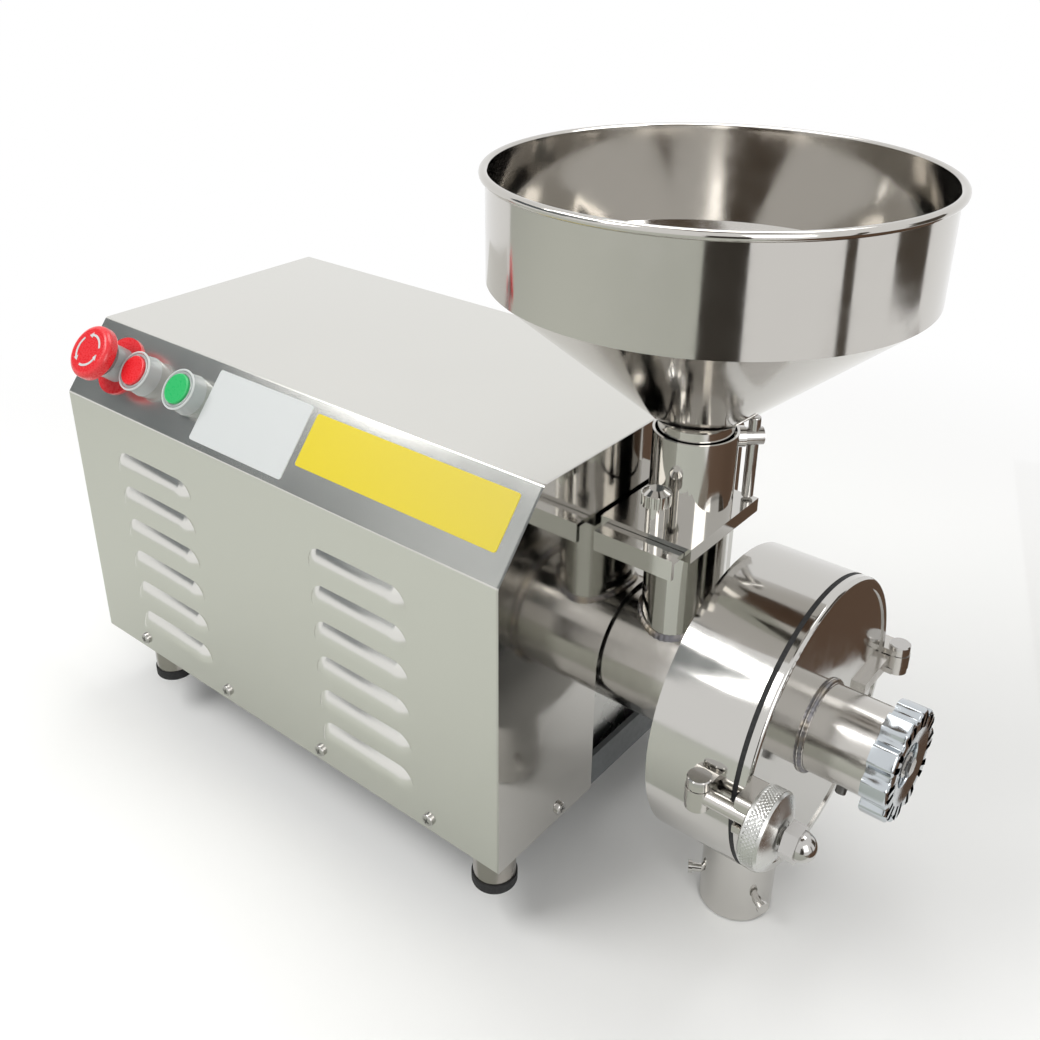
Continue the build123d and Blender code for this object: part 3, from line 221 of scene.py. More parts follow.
red_plastic = moulded("red ABS", "d8232a", 0.28, coat_weight=0.3)
green_plastic = moulded("green ABS", "1fae5e", 0.3, coat_weight=0.3)
grey_plastic = moulded("grey polycarbonate", "9aa09f", 0.25)
clear_plastic = moulded("clear bezel polycarbonate", "d7dcdb", 0.15, transmission_weight=0.55)
black_rubber = moulded("black rubber", "1c1c1d", 0.75, 0.03, 600.0)
black_nylon = moulded("black nylon", "18181a", 0.5, 0.02)
frame_paint = moulded("grey machine paint", "5b5f61", 0.45, 0.03, 250.0)
motor_paint = moulded("blue-grey motor paint", "46525c", 0.5, 0.05, 250.0)
grindstone = moulded("dressed grindstone", "8d867a", 0.9, 0.3, 500.0)
print("plain surfaces ready")

# %% [markdown]
# ## Metals of the small parts
# The handwheel is an iron casting, buffed and chromed, so it mirrors with a cold tone. The hand nut
# is turned aluminium. Screws and cap nuts are bright plated, and the feet are turned bars.

# %% Small parts' metals
chromed_iron = polished_steel("chromed cast iron", "c3c8cc", 0.12, "x", wave_mm=0.04, grain=0.15)
cast_aluminium = polished_steel("turned aluminium", "c9c9c6", 0.24, "round_x", wave_mm=0.02, grain=0.25)
plated = polished_steel("bright plated steel", "bdbbb8", 0.14, "round_z", wave_mm=0.01, grain=0.05)
foot_steel = polished_steel("turned foot", "a19d97", 0.2, "round_z", wave_mm=0.02, grain=0.3)
dark_steel = polished_steel("ground dark steel", "6d6c6a", 0.35, "round_x", wave_mm=0.02, grain=0.3)
print("metals ready")

# %% [markdown]
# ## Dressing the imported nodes
# A node whose shape is right stays, and only takes a finished material.

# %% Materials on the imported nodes
finishes = {
    satin_steel: ("end_plate_left", "housing_cover"),
    mirror_steel: ("end_plate_right", "feed_tube", "gate_guide", "slide_gate", "hopper_collar",
                   "gate_lock_screw", "outlet_spout"),
    hopper_steel: ("hopper_bowl", "hopper_cone", "hopper_spout"),
    drum_steel: ("grinding_drum", "drum_cover"),
    turned_steel: ("cover_neck", "adjust_spindle", "stone_carrier", "stone_holder", "feed_screw", "cover_lug",
                   "clamp_bracket", "swing_bolt", "hinge_bracket", "hinge_leaf", "shaft_tube"),
    chromed_iron: ("handwheel",),
    cast_aluminium: ("hand_nut", "bearing_seat"),
    plated: ("housing_screws", "handwheel_bolt", "acorn_nut", "pivot_pins", "hopper_clamp_screw",
             "hopper_clamp_bar", "clamp_washer"),
    foot_steel: ("feet",),
    dark_steel: ("motor_rotor", "motor_shaft", "shaft_coupling", "mill_shaft", "ball_bearings",
                 "neck_set_screw"),
    black_rubber: ("foot_pads", "drum_gasket", "shaft_seal"),
    black_nylon: ("cable_glands", "motor_fan"),
    frame_paint: ("base_frame",),
    motor_paint: ("motor_housing", "motor_end_bells", "motor_fan_cowl"),
    grindstone: ("rotating_stone", "fixed_stone"),
    red_plastic: ("estop_ring", "estop_head", "stop_button"),
    green_plastic: ("start_button",),
    grey_plastic: ("estop_collar", "estop_plunger"),
    clear_plastic: ("button_bezels",),
}
for material, nodes in finishes.items():
    for node in nodes:
        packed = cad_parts[node]
        packed.data.materials.clear()
        packed.data.materials.append(material)
print("dressed", sum(len(nodes) for nodes in finishes.values()), "nodes")

# %% [markdown]
# ## Helpers for the fine forms
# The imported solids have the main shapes. The pieces that the eye rests on are made again with finer
# forms. Most are turned parts, so one helper spins an outline. Another gives a bent sheet its
# thickness.


# %% Helpers for meshes
def finished(form, name, material, body, replaced=()):
    """Turn a bmesh into a piece that rides on a body, smooth except at its sharp edges."""
    mesh = bpy.data.meshes.new(name)
    form.to_mesh(mesh)
    form.free()
    mesh.materials.append(material)
    mesh.shade_smooth()
    mesh.set_sharp_from_angle(angle=math.radians(SHARP_DEG))
    piece = bpy.data.objects.new(name, mesh)
    bpy.context.scene.collection.objects.link(piece)
    if replaced:
        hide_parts(*replaced)
    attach(piece, body)
    return piece


def along(axis, place_mm):
    """Matrix that carries a form from the Z axis to an axis through a place in millimetres."""
    turn = Vector((0, 0, 1)).rotation_difference(Vector(axis)).to_matrix().to_4x4()
    return Matrix.Translation(Vector(place_mm) * MM) @ turn


def spun(outline, axis, place_mm, steps=128):
    """Spin an outline of (radius, height) in millimetres about an axis; it may start and end on the axis."""
    form = bmesh.new()
    points = [form.verts.new((radius * MM, 0, height * MM)) for radius, height in outline]
    edges = [form.edges.new(pair) for pair in zip(points, points[1:])]
    if outline[0][0] > 0:
        edges.append(form.edges.new((points[-1], points[0])))
    bmesh.ops.spin(form, geom=points + edges, cent=(0, 0, 0), axis=(0, 0, 1), angle=math.tau, steps=steps,
                   use_merge=True)
    bmesh.ops.remove_doubles(form, verts=form.verts, dist=1e-7)
    bmesh.ops.recalc_face_normals(form, faces=form.faces)
    bmesh.ops.transform(form, matrix=along(axis, place_mm), verts=form.verts)
    return form


def raise_faces(form, faces, height_mm):
    """Extrude flat faces along Z and return one raised face."""
    raised = bmesh.ops.extrude_face_region(form, geom=faces)["geom"]
    verts = [item for item in raised if isinstance(item, bmesh.types.BMVert)]
    bmesh.ops.translate(form, vec=(0, 0, height_mm * MM), verts=verts)
    return next(item for item in raised if isinstance(item, bmesh.types.BMFace))


def thicken(form, thickness_mm):
    """Close an open sheet with a second skin behind its faces."""
    form.normal_update()
    inward = {tuple(vert.co): vert.normal * thickness_mm * MM for vert in form.verts}
    skin = bmesh.ops.extrude_face_region(form, geom=form.faces[:], use_keep_orig=True)["geom"]
    for vert in skin:
        if isinstance(vert, bmesh.types.BMVert):
            vert.co -= inward[tuple(vert.co)]
    bmesh.ops.recalc_face_normals(form, faces=form.faces)
    return form


SHARP_DEG = 32
X_AXIS, Z_AXIS = (1, 0, 0), (0, 0, 1)
print("sharp edges stay above", SHARP_DEG, "degrees")

# %% [markdown]
# ## Hopper
# The bowl is one spun sheet, 1.2 mm thick, with a crease where the straight wall meets the cone.
# Its rim is rolled outwards over a bead, which leaves a thin dark line under the roll. One outline
# that goes up the outside, round the roll and down the inside gives all of that in a single spin.

# %% Hopper shell
SHEET = 1.2
RIM_R = (bowl_high.x - bowl_low.x) / 2
BEAD_R = 2.6
ROLL_FROM, ROLL_TO, ROLL_STEP = -100, 150, 25
WALL_R = (cone_high.x - cone_low.x) / 2
CONE_END_R = 22.8
FLARE, LIP_H = 0.2, 0.4
roll_turns = [math.radians(turn) for turn in range(ROLL_FROM, ROLL_TO + 1, ROLL_STEP)]
roll = [(RIM_R - BEAD_R + BEAD_R * math.cos(turn), bowl_high.z - BEAD_R + BEAD_R * math.sin(turn))
        for turn in roll_turns]
flare_foot, flare_top, inner_top = (bowl_high.z - depth * BEAD_R for depth in (2.3, 1.7, 1.4))
hopper_outline = [(CONE_END_R, cone_low.z), (WALL_R, cone_high.z), (WALL_R, flare_foot)]
hopper_outline += [(WALL_R + FLARE, flare_top)] + roll
hopper_outline += [(WALL_R - SHEET, inner_top), (WALL_R - SHEET, cone_high.z)]
hopper_outline += [(CONE_END_R - SHEET, cone_low.z + LIP_H)]
hopper_form = spun(hopper_outline, Z_AXIS, (FEED_X, 0, 0), steps=192)
finished(hopper_form, "hopper_shell", hopper_steel, "hopper", ("hopper_bowl", "hopper_cone"))
print("hopper rim", round(2 * RIM_R), "mm across")

# %% [markdown]
# ## Welds
# The tubes are joined by hand with a torch, which leaves a bead of overlapping ripples, grey and
# straw brown from the heat. A bead is a small circle spun round the joint. A wave that swells and
# thins it gives the ripples, and where a tube stands on another tube, the ring is lifted on to its
# curve.


# %% Weld beads
weld_metal, weld_tree, weld_shader = new_material("heat-tinted weld", "8d8378", 0.3, 1.0)
weld_coordinates = object_coordinates(weld_tree)
tint = add(weld_tree, "ShaderNodeTexNoise", {"Vector": weld_coordinates}, {"Scale": 90.0, "Detail": 2.0})
heat = add(weld_tree, "ShaderNodeValToRGB", {"Fac": tint.outputs["Fac"]})
heat.color_ramp.elements[0].color = colour("77767a")
heat.color_ramp.elements[0].position = 0.38
heat.color_ramp.elements[1].color = colour("a39a8c")
heat.color_ramp.elements[1].position = 0.62
weld_tree.links.new(heat.outputs["Color"], weld_shader.inputs["Base Color"])


def weld(name, radius, bead_r, axis, place_mm, lift=None, body="mill", ripples=70):
    """Rippled bead round a joint; lift gives the height of the joint over each point of the ring."""
    turns = [index * math.tau / WELD_CORNERS for index in range(WELD_CORNERS)]
    circle = [(radius + bead_r * math.cos(turn), bead_r * math.sin(turn)) for turn in turns]
    form = spun(circle, Z_AXIS, (0, 0, 0), steps=ripples * RINGS_PER_RIPPLE)
    for vert in form.verts:
        turn = math.atan2(vert.co.y, vert.co.x)
        swell = 1 + RIPPLE * math.cos(turn * ripples)
        middle = Vector((math.cos(turn), math.sin(turn), 0)) * radius * MM
        vert.co = middle + (vert.co - middle) * swell
    bmesh.ops.transform(form, matrix=along(axis, place_mm), verts=form.verts)
    if lift:
        for vert in form.verts:
            vert.co.z += lift(vert.co.y / MM) * MM
    return finished(form, name, weld_metal, body)


RIPPLE, WELD_CORNERS, RINGS_PER_RIPPLE = 0.1, 8, 4
TUBE_R = 42.0
FEED_R = 25.4
OUTLET_R = 24.0
NECK_R = 28.0
DRUM_R = (drum_high.z - drum_low.z) / 2
DRUM_BACK_X = drum_low.x
COVER_DISH = 1.0
COVER_FACE_X = corners_mm("drum_cover")[1].x - COVER_DISH
# Radius of each bead, and how far its middle stands off the corner that it fills
DRUM_BEAD, NECK_BEAD, FEED_BEAD, OUTLET_BEAD = 2.2, 1.6, 1.9, 1.6
DRUM_OFF, NECK_OFF, FEED_OFF, OUTLET_OFF, LIFT_OFF = 0.6, 0.9, 0.4, 0.3, 0.4
NECK_RIPPLES, TUBE_RIPPLES = 50, 46
weld("weld_drum", TUBE_R + DRUM_OFF, DRUM_BEAD, X_AXIS, (DRUM_BACK_X - DRUM_OFF, 0, SHAFT_Z))
weld("weld_neck", NECK_R + NECK_OFF, NECK_BEAD, X_AXIS, (COVER_FACE_X + NECK_OFF, 0, SHAFT_Z),
     ripples=NECK_RIPPLES)
weld("weld_feed", FEED_R + FEED_OFF, FEED_BEAD, Z_AXIS, (FEED_X, 0, SHAFT_Z),
     lambda y: math.sqrt(TUBE_R ** 2 - y ** 2) + LIFT_OFF, ripples=TUBE_RIPPLES)
weld("weld_outlet", OUTLET_R + OUTLET_OFF, OUTLET_BEAD, Z_AXIS, (OUTLET_X, OUTLET_Y, SHAFT_Z),
     lambda y: -math.sqrt(DRUM_R ** 2 - y ** 2) - LIFT_OFF, ripples=TUBE_RIPPLES)
print("weld beads", 4)

# %% [markdown]
# ## Handwheel
# A chromed casting with ten thick lobes for the fingers and a dished face. It starts as a disc of
# many corners. A smooth wave draws the corners in between the lobes. Each loop of the face is then
# an inset of the one before, and the inner loops are pulled round.

# %% Handwheel
WHEEL_R = (wheel_high.z - wheel_low.z) / 2
WHEEL_T = wheel_high.x - wheel_low.x
LOBES, CORNERS_PER_LOBE = 10, 24
NOTCH_DEPTH, NOTCH_BIAS, NOTCH_POWER = 3.8, 0.15, 1.3
SHOULDER_T = 2.0
wheel_form = bmesh.new()
bmesh.ops.create_circle(wheel_form, cap_ends=True, segments=LOBES * CORNERS_PER_LOBE, radius=WHEEL_R * MM)
for vert in wheel_form.verts:
    turn = math.atan2(vert.co.y, vert.co.x)
    notch = max(0.0, math.cos(turn * LOBES) + NOTCH_BIAS) ** NOTCH_POWER
    vert.co *= 1 - min(notch, 1.0) * NOTCH_DEPTH / WHEEL_R
face = raise_faces(wheel_form, wheel_form.faces[:], WHEEL_T - SHOULDER_T)
ROUNDED_EDGE = ((0.5, 0.9), (0.9, 0.7), (1.6, 0.4), (2.4, 0.0))
for inset_mm, rise_mm in ROUNDED_EDGE:
    bmesh.ops.inset_region(wheel_form, faces=[face], thickness=inset_mm * MM, depth=0)
    for vert in face.verts:
        vert.co.z += rise_mm * MM
DISH = ((25.0, 0.0), (24.6, 0.0), (21.0, 0.9), (17.0, 1.5), (14.2, 1.8), (14.0, 2.2), (14.0, 4.0), (8.5, 4.0))
for radius, drop in DISH:
    bmesh.ops.inset_region(wheel_form, faces=[face], thickness=0.1 * MM, depth=0)
    for vert in face.verts:
        flat = Vector((vert.co.x, vert.co.y)).normalized() * radius * MM
        vert.co = (flat.x, flat.y, (WHEEL_T - drop) * MM)
bmesh.ops.recalc_face_normals(wheel_form, faces=wheel_form.faces)
bmesh.ops.transform(wheel_form, matrix=along(X_AXIS, (wheel_low.x, 0, SHAFT_Z)), verts=wheel_form.verts)
finished(wheel_form, "handwheel_casting", chromed_iron, "handwheel", ("handwheel",))
print("handwheel lobes", LOBES)

# %% [markdown]
# ## Hand nut
# A turned nut with a knurled rim, which two crossing wheels pressed into diamonds. The rim is spun
# with fine steps, and each corner sinks by the nearer of the two wheels' grooves. Real grooves are
# about 1.2 mm apart. They are drawn about twice as coarse, so that they show.

# %% Hand nut
NUT_R = (nut_high.z - nut_low.z) / 2
NUT_T = nut_high.x - nut_low.x
NUT_Y, NUT_Z = (nut_low.y + nut_high.y) / 2, (nut_low.z + nut_high.z) / 2
NUT_BORE_R = 5.3
RIM_T = 12.0
KNURLS, KNURL_DEPTH, KNURL_RINGS = 56, 0.35, 18
KNURL_R = NUT_R - 0.3
FLANGE_R, FLANGE_T = NUT_R - 1.4, 2.2
KNURL_W = RIM_T - FLANGE_T - 1.4
knurled = [(KNURL_R, FLANGE_T + KNURL_W * index / KNURL_RINGS) for index in range(KNURL_RINGS + 1)]
nut_outline = [(NUT_BORE_R, 0), (NUT_R - 2.2, 0), (FLANGE_R, 0.7), (FLANGE_R, FLANGE_T - 0.2)] + knurled
nut_outline += [(FLANGE_R, RIM_T), (NUT_R - 3.0, RIM_T + 0.4), (15.5, NUT_T - 1.2), (13.0, NUT_T - 0.4)]
nut_outline += [(12.0, NUT_T), (8.6, NUT_T), (8.2, NUT_T - 0.8), (NUT_BORE_R, NUT_T - 0.8)]
nut_form = spun(nut_outline, Z_AXIS, (0, 0, 0), steps=KNURLS * 6)
for vert in nut_form.verts:
    radius, height = math.hypot(vert.co.x, vert.co.y) / MM, vert.co.z / MM
    if radius > NUT_R - 0.4 and FLANGE_T + 0.2 < height < RIM_T - 1.6:
        turn = math.atan2(vert.co.y, vert.co.x) * KNURLS / math.tau
        rise = height / (math.tau * NUT_R / KNURLS)
        groove = max(abs(math.cos(math.pi * (turn + rise))), abs(math.cos(math.pi * (turn - rise)))) ** 4
        vert.co.x *= 1 - groove * KNURL_DEPTH / radius
        vert.co.y *= 1 - groove * KNURL_DEPTH / radius
bmesh.ops.transform(nut_form, matrix=along(X_AXIS, (nut_low.x, NUT_Y, NUT_Z)), verts=nut_form.verts)
finished(nut_form, "hand_nut_knurled", cast_aluminium, "hand_nut", ("hand_nut",))
print("knurls round the nut", KNURLS)

# %% [markdown]
# ## Housing sheet and louvres
# One sheet is folded over front, slope, top and back, with round folds that catch a line of light.
# The sheet is a grid along the folded outline, with a cell left open behind each louvre and a round
# hole under each button. A louvre is pressed out as a soft hood: its rings step in from a round-ended
# outline and rise along a parabola, so the hood stands proudest over its open lower edge.


# %% Housing sheet
def folded(points, radius, steps=6):
    """Outline with each inner corner rounded."""
    outline = [points[0]]
    for before, corner, after in zip(points, points[1:], points[2:]):
        before, corner, after = Vector(before), Vector(corner), Vector(after)
        back, on = (before - corner).normalized(), (after - corner).normalized()
        half = back.angle(on) / 2
        middle = corner + (back + on).normalized() * radius / math.sin(half)
        start, end = corner + back * radius / math.tan(half), corner + on * radius / math.tan(half)
        for index in range(steps + 1):
            spoke = (start - middle).lerp(end - middle, index / steps).normalized()
            outline.append(tuple(middle + spoke * radius))
    return outline + [points[-1]]


def round_hole(form, corners, centre):
    """Faces of a grid cell on the slope between its corners and a round hole."""
    hole = []
    for index in range(HOLE_CORNERS):
        turn = math.tau * (index / HOLE_CORNERS - 3 / 8)
        spoke = Vector((math.cos(turn), 0, 0)) + SLOPE * math.sin(turn)
        hole.append(form.verts.new((centre + spoke * HOLE_R) * MM))
    quarter = HOLE_CORNERS // 4
    for side in range(4):
        arc = [hole[index % HOLE_CORNERS] for index in range(quarter * side, quarter * (side + 1) + 1)]
        form.faces.new([corners[side], corners[(side + 1) % 4]] + arc[::-1])


sheet_low, sheet_high = corners_mm("housing_cover")
FRONT_Y, BACK_Y, FOOT_Z, SHEET_T, FOLD_R = -143.0, 129.0, 26.0, 1.5, 3.0
SHOULDER, SLOPE_TOP = Vector((0, FRONT_Y, 236.5)), Vector((0, -103.0, 284.5))
SLOPE = (SLOPE_TOP - SHOULDER).normalized()
SLOPE_OUT = Vector((0, -SLOPE.z, SLOPE.y))
LOUVRE_X, LOUVRE_ROWS, LOUVRE_PITCH, LOUVRE_FOOT_Z = (-323.0, -115.0), 6, 27.8, 53.0
OPEN_HALF_L, OPEN_H = 41.0, 7.0
ESTOP_X, STOP_X, START_X = -377.0, -346.0, -295.0
CONTROL_RISE, HOLE_HALF, HOLE_R, HOLE_CORNERS = 32.5, 13.0, 12.0, 24
louvre_feet = [LOUVRE_FOOT_Z + row * LOUVRE_PITCH for row in range(LOUVRE_ROWS)]
louvre_edges = [(FRONT_Y, foot + rise) for foot in louvre_feet for rise in (0, OPEN_H)]
hole_edges = [tuple((SHOULDER + SLOPE * (CONTROL_RISE + side * HOLE_HALF)).yz) for side in (-1, 1)]
folds = folded([(FRONT_Y, FOOT_Z), tuple(SHOULDER.yz), tuple(SLOPE_TOP.yz), (100.0, SLOPE_TOP.z),
                (BACK_Y, SHOULDER.z), (BACK_Y, FOOT_Z)], FOLD_R)
first_fold = [point for point in folds[1:] if point[1] < hole_edges[0][1] and point[0] < 0]
outline = [folds[0]] + louvre_edges + first_fold + hole_edges + folds[1 + len(first_fold):]
hole_row = outline.index(hole_edges[0])
stations = {sheet_low.x, sheet_high.x}
stations |= {x + side * OPEN_HALF_L for x in LOUVRE_X for side in (-1, 1)}
stations |= {x + side * HOLE_HALF for x in (STOP_X, START_X) for side in (-1, 1)}
stations = sorted(stations)
sheet_form = bmesh.new()
grid = [[sheet_form.verts.new((x * MM, y * MM, z * MM)) for y, z in outline] for x in stations]
for left, right, x_left, x_right in zip(grid, grid[1:], stations, stations[1:]):
    middle = (x_left + x_right) / 2
    in_louvres = any(abs(middle - x) < OPEN_HALF_L for x in LOUVRE_X)
    button = [x for x in (STOP_X, START_X) if abs(middle - x) < HOLE_HALF]
    for row in range(len(outline) - 1):
        corners = [left[row], right[row], right[row + 1], left[row + 1]]
        if button and row == hole_row:
            round_hole(sheet_form, corners, SHOULDER + SLOPE * CONTROL_RISE + Vector((button[0], 0, 0)))
        elif not (in_louvres and row % 2 and row < 2 * LOUVRE_ROWS):
            sheet_form.faces.new(corners)
thicken(sheet_form, SHEET_T)
finished(sheet_form, "housing_sheet", satin_steel, "mill", ("housing_cover",))
print("folded outline", len(outline), "points")

# %% Louvre hoods
HOOD_HALF_L, HOOD_H, HOOD_RISE, HOOD_SLOPE, HOOD_STEPS = 43.2, 13.2, 4.9, 11.0, 7
HOOD_T, HOOD_CORNERS = 1.2, 16
flat = HOOD_HALF_L - HOOD_H
hood_turns = [math.pi * index / HOOD_CORNERS for index in range(HOOD_CORNERS + 1)]
hood_ends = [flat if turn < math.pi / 2 else -flat for turn in hood_turns]
hood_ends[HOOD_CORNERS // 2] = 0
hood_form = bmesh.new()
for x in LOUVRE_X:
    for foot in louvre_feet:
        rings = []
        for step in range(HOOD_STEPS + 1):
            share = step / HOOD_STEPS
            height = HOOD_H - HOOD_SLOPE * share
            rise = HOOD_RISE * (1 - (1 - share) ** 2)
            ring = []
            for end, turn in zip(hood_ends, hood_turns):
                place = Vector((end + height * math.cos(turn), -rise, height * math.sin(turn)))
                ring.append(hood_form.verts.new((Vector((x, FRONT_Y, foot)) + place) * MM))
            rings.append(ring)
        for ring, inner in zip(rings, rings[1:]):
            for index in range(len(ring) - 1):
                hood_form.faces.new((ring[index], ring[index + 1], inner[index + 1], inner[index]))
        hood_form.faces.new(rings[-1])
thicken(hood_form, HOOD_T)
finished(hood_form, "louvre_hoods", satin_steel, "mill")
print("louvres", len(LOUVRE_X) * LOUVRE_ROWS)

# %% [markdown]
# ## Cross recesses
# The pan head screws have a cross recess. It is not cut: a thin dark cross on each head that the camera
# sees stands in for it, as painted shade of the recess.

# %% Screw crosses
CROSS_L, CROSS_W, CROSS_T, HEAD_H, SCREW_Z = 4.6, 0.9, 0.3, 2.6, 35.0
cross_form = bmesh.new()
places = [((x, FRONT_Y - HEAD_H, SCREW_Z), 0) for x in (-368.0, -265.0, -162.0, -59.0)]
places += [((HEAD_H, y, SCREW_Z), 90) for y in (-81.0, 67.0)]
for place, turn in places:
    for tilt in (20, 110):
        bar = bmesh.ops.create_cube(cross_form, size=MM)["verts"]
        bmesh.ops.scale(cross_form, vec=(CROSS_L, CROSS_T, CROSS_W), verts=bar)
        bmesh.ops.rotate(cross_form, matrix=Matrix.Rotation(math.radians(tilt), 3, "Y"), verts=bar)
        bmesh.ops.rotate(cross_form, matrix=Matrix.Rotation(math.radians(turn), 3, "Z"), verts=bar)
        bmesh.ops.translate(cross_form, vec=Vector(place) * MM, verts=bar)
# Dark steel crosses: painted shade of the cross recesses, not their own colour
finished(cross_form, "screw_recess_painted_shade", dark_steel, "mill")
print("screws in view", len(places))

# %% [markdown]
# ## Bare plates on the slope
# A rating plate and a notice sit on the slope. Both are left blank: thin vinyl with a soft gloss.


# %% Plates on the slope
white_vinyl = moulded("white vinyl", "c4c7c6", 0.35, 0.002, 400.0)
yellow_vinyl = moulded("yellow vinyl", "d2be00", 0.35, 0.002, 400.0)


def slope_plate(name, material, x_from, x_to, rise_from, rise_to, thick=0.4, corner=2.0):
    """Thin plate on the slope with rounded corners."""
    form = bmesh.new()
    bmesh.ops.create_grid(form, x_segments=1, y_segments=1, size=0.5)
    bmesh.ops.scale(form, vec=((x_to - x_from) * MM, (rise_to - rise_from) * MM, 1), verts=form.verts)
    bmesh.ops.bevel(form, geom=form.verts[:], offset=corner * MM, offset_type="OFFSET", segments=4,
                    profile=0.5, affect="VERTICES", material=-1)
    raise_faces(form, form.faces[:], thick)
    bmesh.ops.recalc_face_normals(form, faces=form.faces)
    middle = SHOULDER + SLOPE * (rise_from + rise_to) / 2 + Vector(((x_from + x_to) / 2, 0, 0))
    place = Matrix((Vector((1, 0, 0)), SLOPE, SLOPE_OUT)).transposed().to_4x4()
    bmesh.ops.transform(form, matrix=Matrix.Translation(middle * MM) @ place, verts=form.verts)
    return finished(form, name, material, "mill")


slope_plate("rating_plate_blank", white_vinyl, x_from=-277, x_to=-183, rise_from=5, rise_to=57)
slope_plate("notice_plate_blank", yellow_vinyl, x_from=-177, x_to=-11.5, rise_from=17.5, rise_to=53.5)
print("slope length", round((SLOPE_TOP - SHOULDER).length, 1), "mm")

# %% [markdown]
# ## Controls
# The stop head carries three white arcs that show which way it turns to release. Each button's clear
# bezel has a moulded lip, drawn in white as a painted highlight of its bright rim. Their heights over the
# slope are read from the imported nodes.


# %% Arcs and bezel lips with painted highlight
def top_over_slope(node):
    """Height of a node's highest point over the slope, in millimetres."""
    return max((vert.co / MM - SHOULDER).dot(SLOPE_OUT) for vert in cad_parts[node].data.vertices)


ARC_R, ARC_W, ARC_T, ARC_DEG = 11.5, 1.7, 0.25, 78
TIP_HALF_W, TIP_TURN = 2.1, 0.32
head_top = top_over_slope("estop_head")
arc_form = bmesh.new()
for start in (20, 140, 260):
    ends = [arc_form.verts.new((radius * MM, 0, 0)) for radius in (ARC_R - ARC_W / 2, ARC_R + ARC_W / 2)]
    strip = [*ends, arc_form.edges.new(ends)]
    bmesh.ops.rotate(arc_form, matrix=Matrix.Rotation(math.radians(start), 3, "Z"), verts=ends)
    bmesh.ops.spin(arc_form, geom=strip, cent=(0, 0, 0), axis=(0, 0, 1), angle=math.radians(ARC_DEG),
                   steps=12)
    tip = [arc_form.verts.new((radius * MM, 0, 0)) for radius in (ARC_R - TIP_HALF_W, ARC_R + TIP_HALF_W)]
    tip.append(arc_form.verts.new((ARC_R * math.cos(TIP_TURN) * MM, ARC_R * math.sin(TIP_TURN) * MM, 0)))
    arc_form.faces.new(tip)
    bmesh.ops.rotate(arc_form, matrix=Matrix.Rotation(math.radians(start + ARC_DEG), 3, "Z"), verts=tip)
bmesh.ops.recalc_face_normals(arc_form, faces=arc_form.faces)
raise_faces(arc_form, arc_form.faces[:], ARC_T)
bmesh.ops.recalc_face_normals(arc_form, faces=arc_form.faces)
head_middle = SHOULDER + SLOPE * CONTROL_RISE + SLOPE_OUT * head_top + Vector((ESTOP_X, 0, 0))
slope_turn = Matrix((Vector((1, 0, 0)), SLOPE, SLOPE_OUT)).transposed().to_4x4()
bmesh.ops.transform(arc_form, matrix=Matrix.Translation(head_middle * MM) @ slope_turn, verts=arc_form.verts)
finished(arc_form, "estop_arcs", white_vinyl, "estop_head")
BEZEL_EDGE_R, BEZEL_BEAD_R, BEZEL_SINK, BEAD_CORNERS = 14.2, 0.75, 0.4, 10
bezel_top = top_over_slope("button_bezels")
bead_turns = [index * math.tau / BEAD_CORNERS for index in range(BEAD_CORNERS)]
bead = [(BEZEL_EDGE_R + BEZEL_BEAD_R * math.cos(turn), BEZEL_BEAD_R * math.sin(turn)) for turn in bead_turns]
# White vinyl ring on each clear bezel's lip: the lip is real, its white is a painted highlight of the bright
# rim
for name, x in (("stop", STOP_X), ("start", START_X)):
    middle = SHOULDER + SLOPE * CONTROL_RISE + SLOPE_OUT * (bezel_top - BEZEL_SINK) + Vector((x, 0, 0))
    edge = spun(bead, SLOPE_OUT, middle, steps=64)
    finished(edge, name + "_bezel_painted_highlight", white_vinyl, "mill")
print("stop head top", round(head_top, 1), "mm over the slope")

# %% [markdown]
# ## Floor, background and light
# The photograph was taken on a white table in a bright room. The floor is a pale plane that the
# camera sees as white, apart from the mill's own shadow. Reflections see the same white room, with
# a few darker cards in it, because polished steel only shows its form through what it mirrors.

# %% Floor
FLOOR_SIZE, FLOOR_GAP = 6.0, 0.001
floor_mesh = bpy.data.meshes.new("floor")
floor_form = bmesh.new()
bmesh.ops.create_grid(floor_form, x_segments=1, y_segments=1, size=FLOOR_SIZE / 2)
bmesh.ops.translate(floor_form, verts=floor_form.verts, vec=(0, 0, cad_box[0][2] - FLOOR_GAP))
floor_form.to_mesh(floor_mesh)
floor_form.free()
floor = bpy.data.objects.new("floor", floor_mesh)
bpy.context.scene.collection.objects.link(floor)
floor_material, floor_tree, floor_shader = new_material("pale floor", "f4f4f2", 0.6)
FADE_FROM, FADE_TO, FADE_SHIFT = 0.45, 1.1, (0.1, 0, 0)
around = object_coordinates(floor_tree, location=FADE_SHIFT)
spot = add(floor_tree, "ShaderNodeVectorMath", {0: around}, operation="LENGTH")
far = add(floor_tree, "ShaderNodeMapRange", {"Value": spot.outputs["Value"]},
          {"From Min": FADE_FROM, "From Max": FADE_TO}, interpolation_type="SMOOTHSTEP")
ray = add(floor_tree, "ShaderNodeLightPath")
looked_at = add(floor_tree, "ShaderNodeMath",
                {0: ray.outputs["Is Camera Ray"], 1: ray.outputs["Is Glossy Ray"]}, operation="MAXIMUM")
share = add(floor_tree, "ShaderNodeMath", {0: far.outputs["Result"], 1: looked_at.outputs[0]},
            operation="MULTIPLY")
white = add(floor_tree, "ShaderNodeEmission", inputs={"Color": colour("ffffff"), "Strength": 1.0})
blend = add(floor_tree, "ShaderNodeMixShader",
            {"Fac": share.outputs[0], 1: floor_shader.outputs[0], 2: white.outputs[0]})
floor_tree.links.new(blend.outputs[0], floor_tree.nodes["Material Output"].inputs["Surface"])
floor_mesh.materials.append(floor_material)

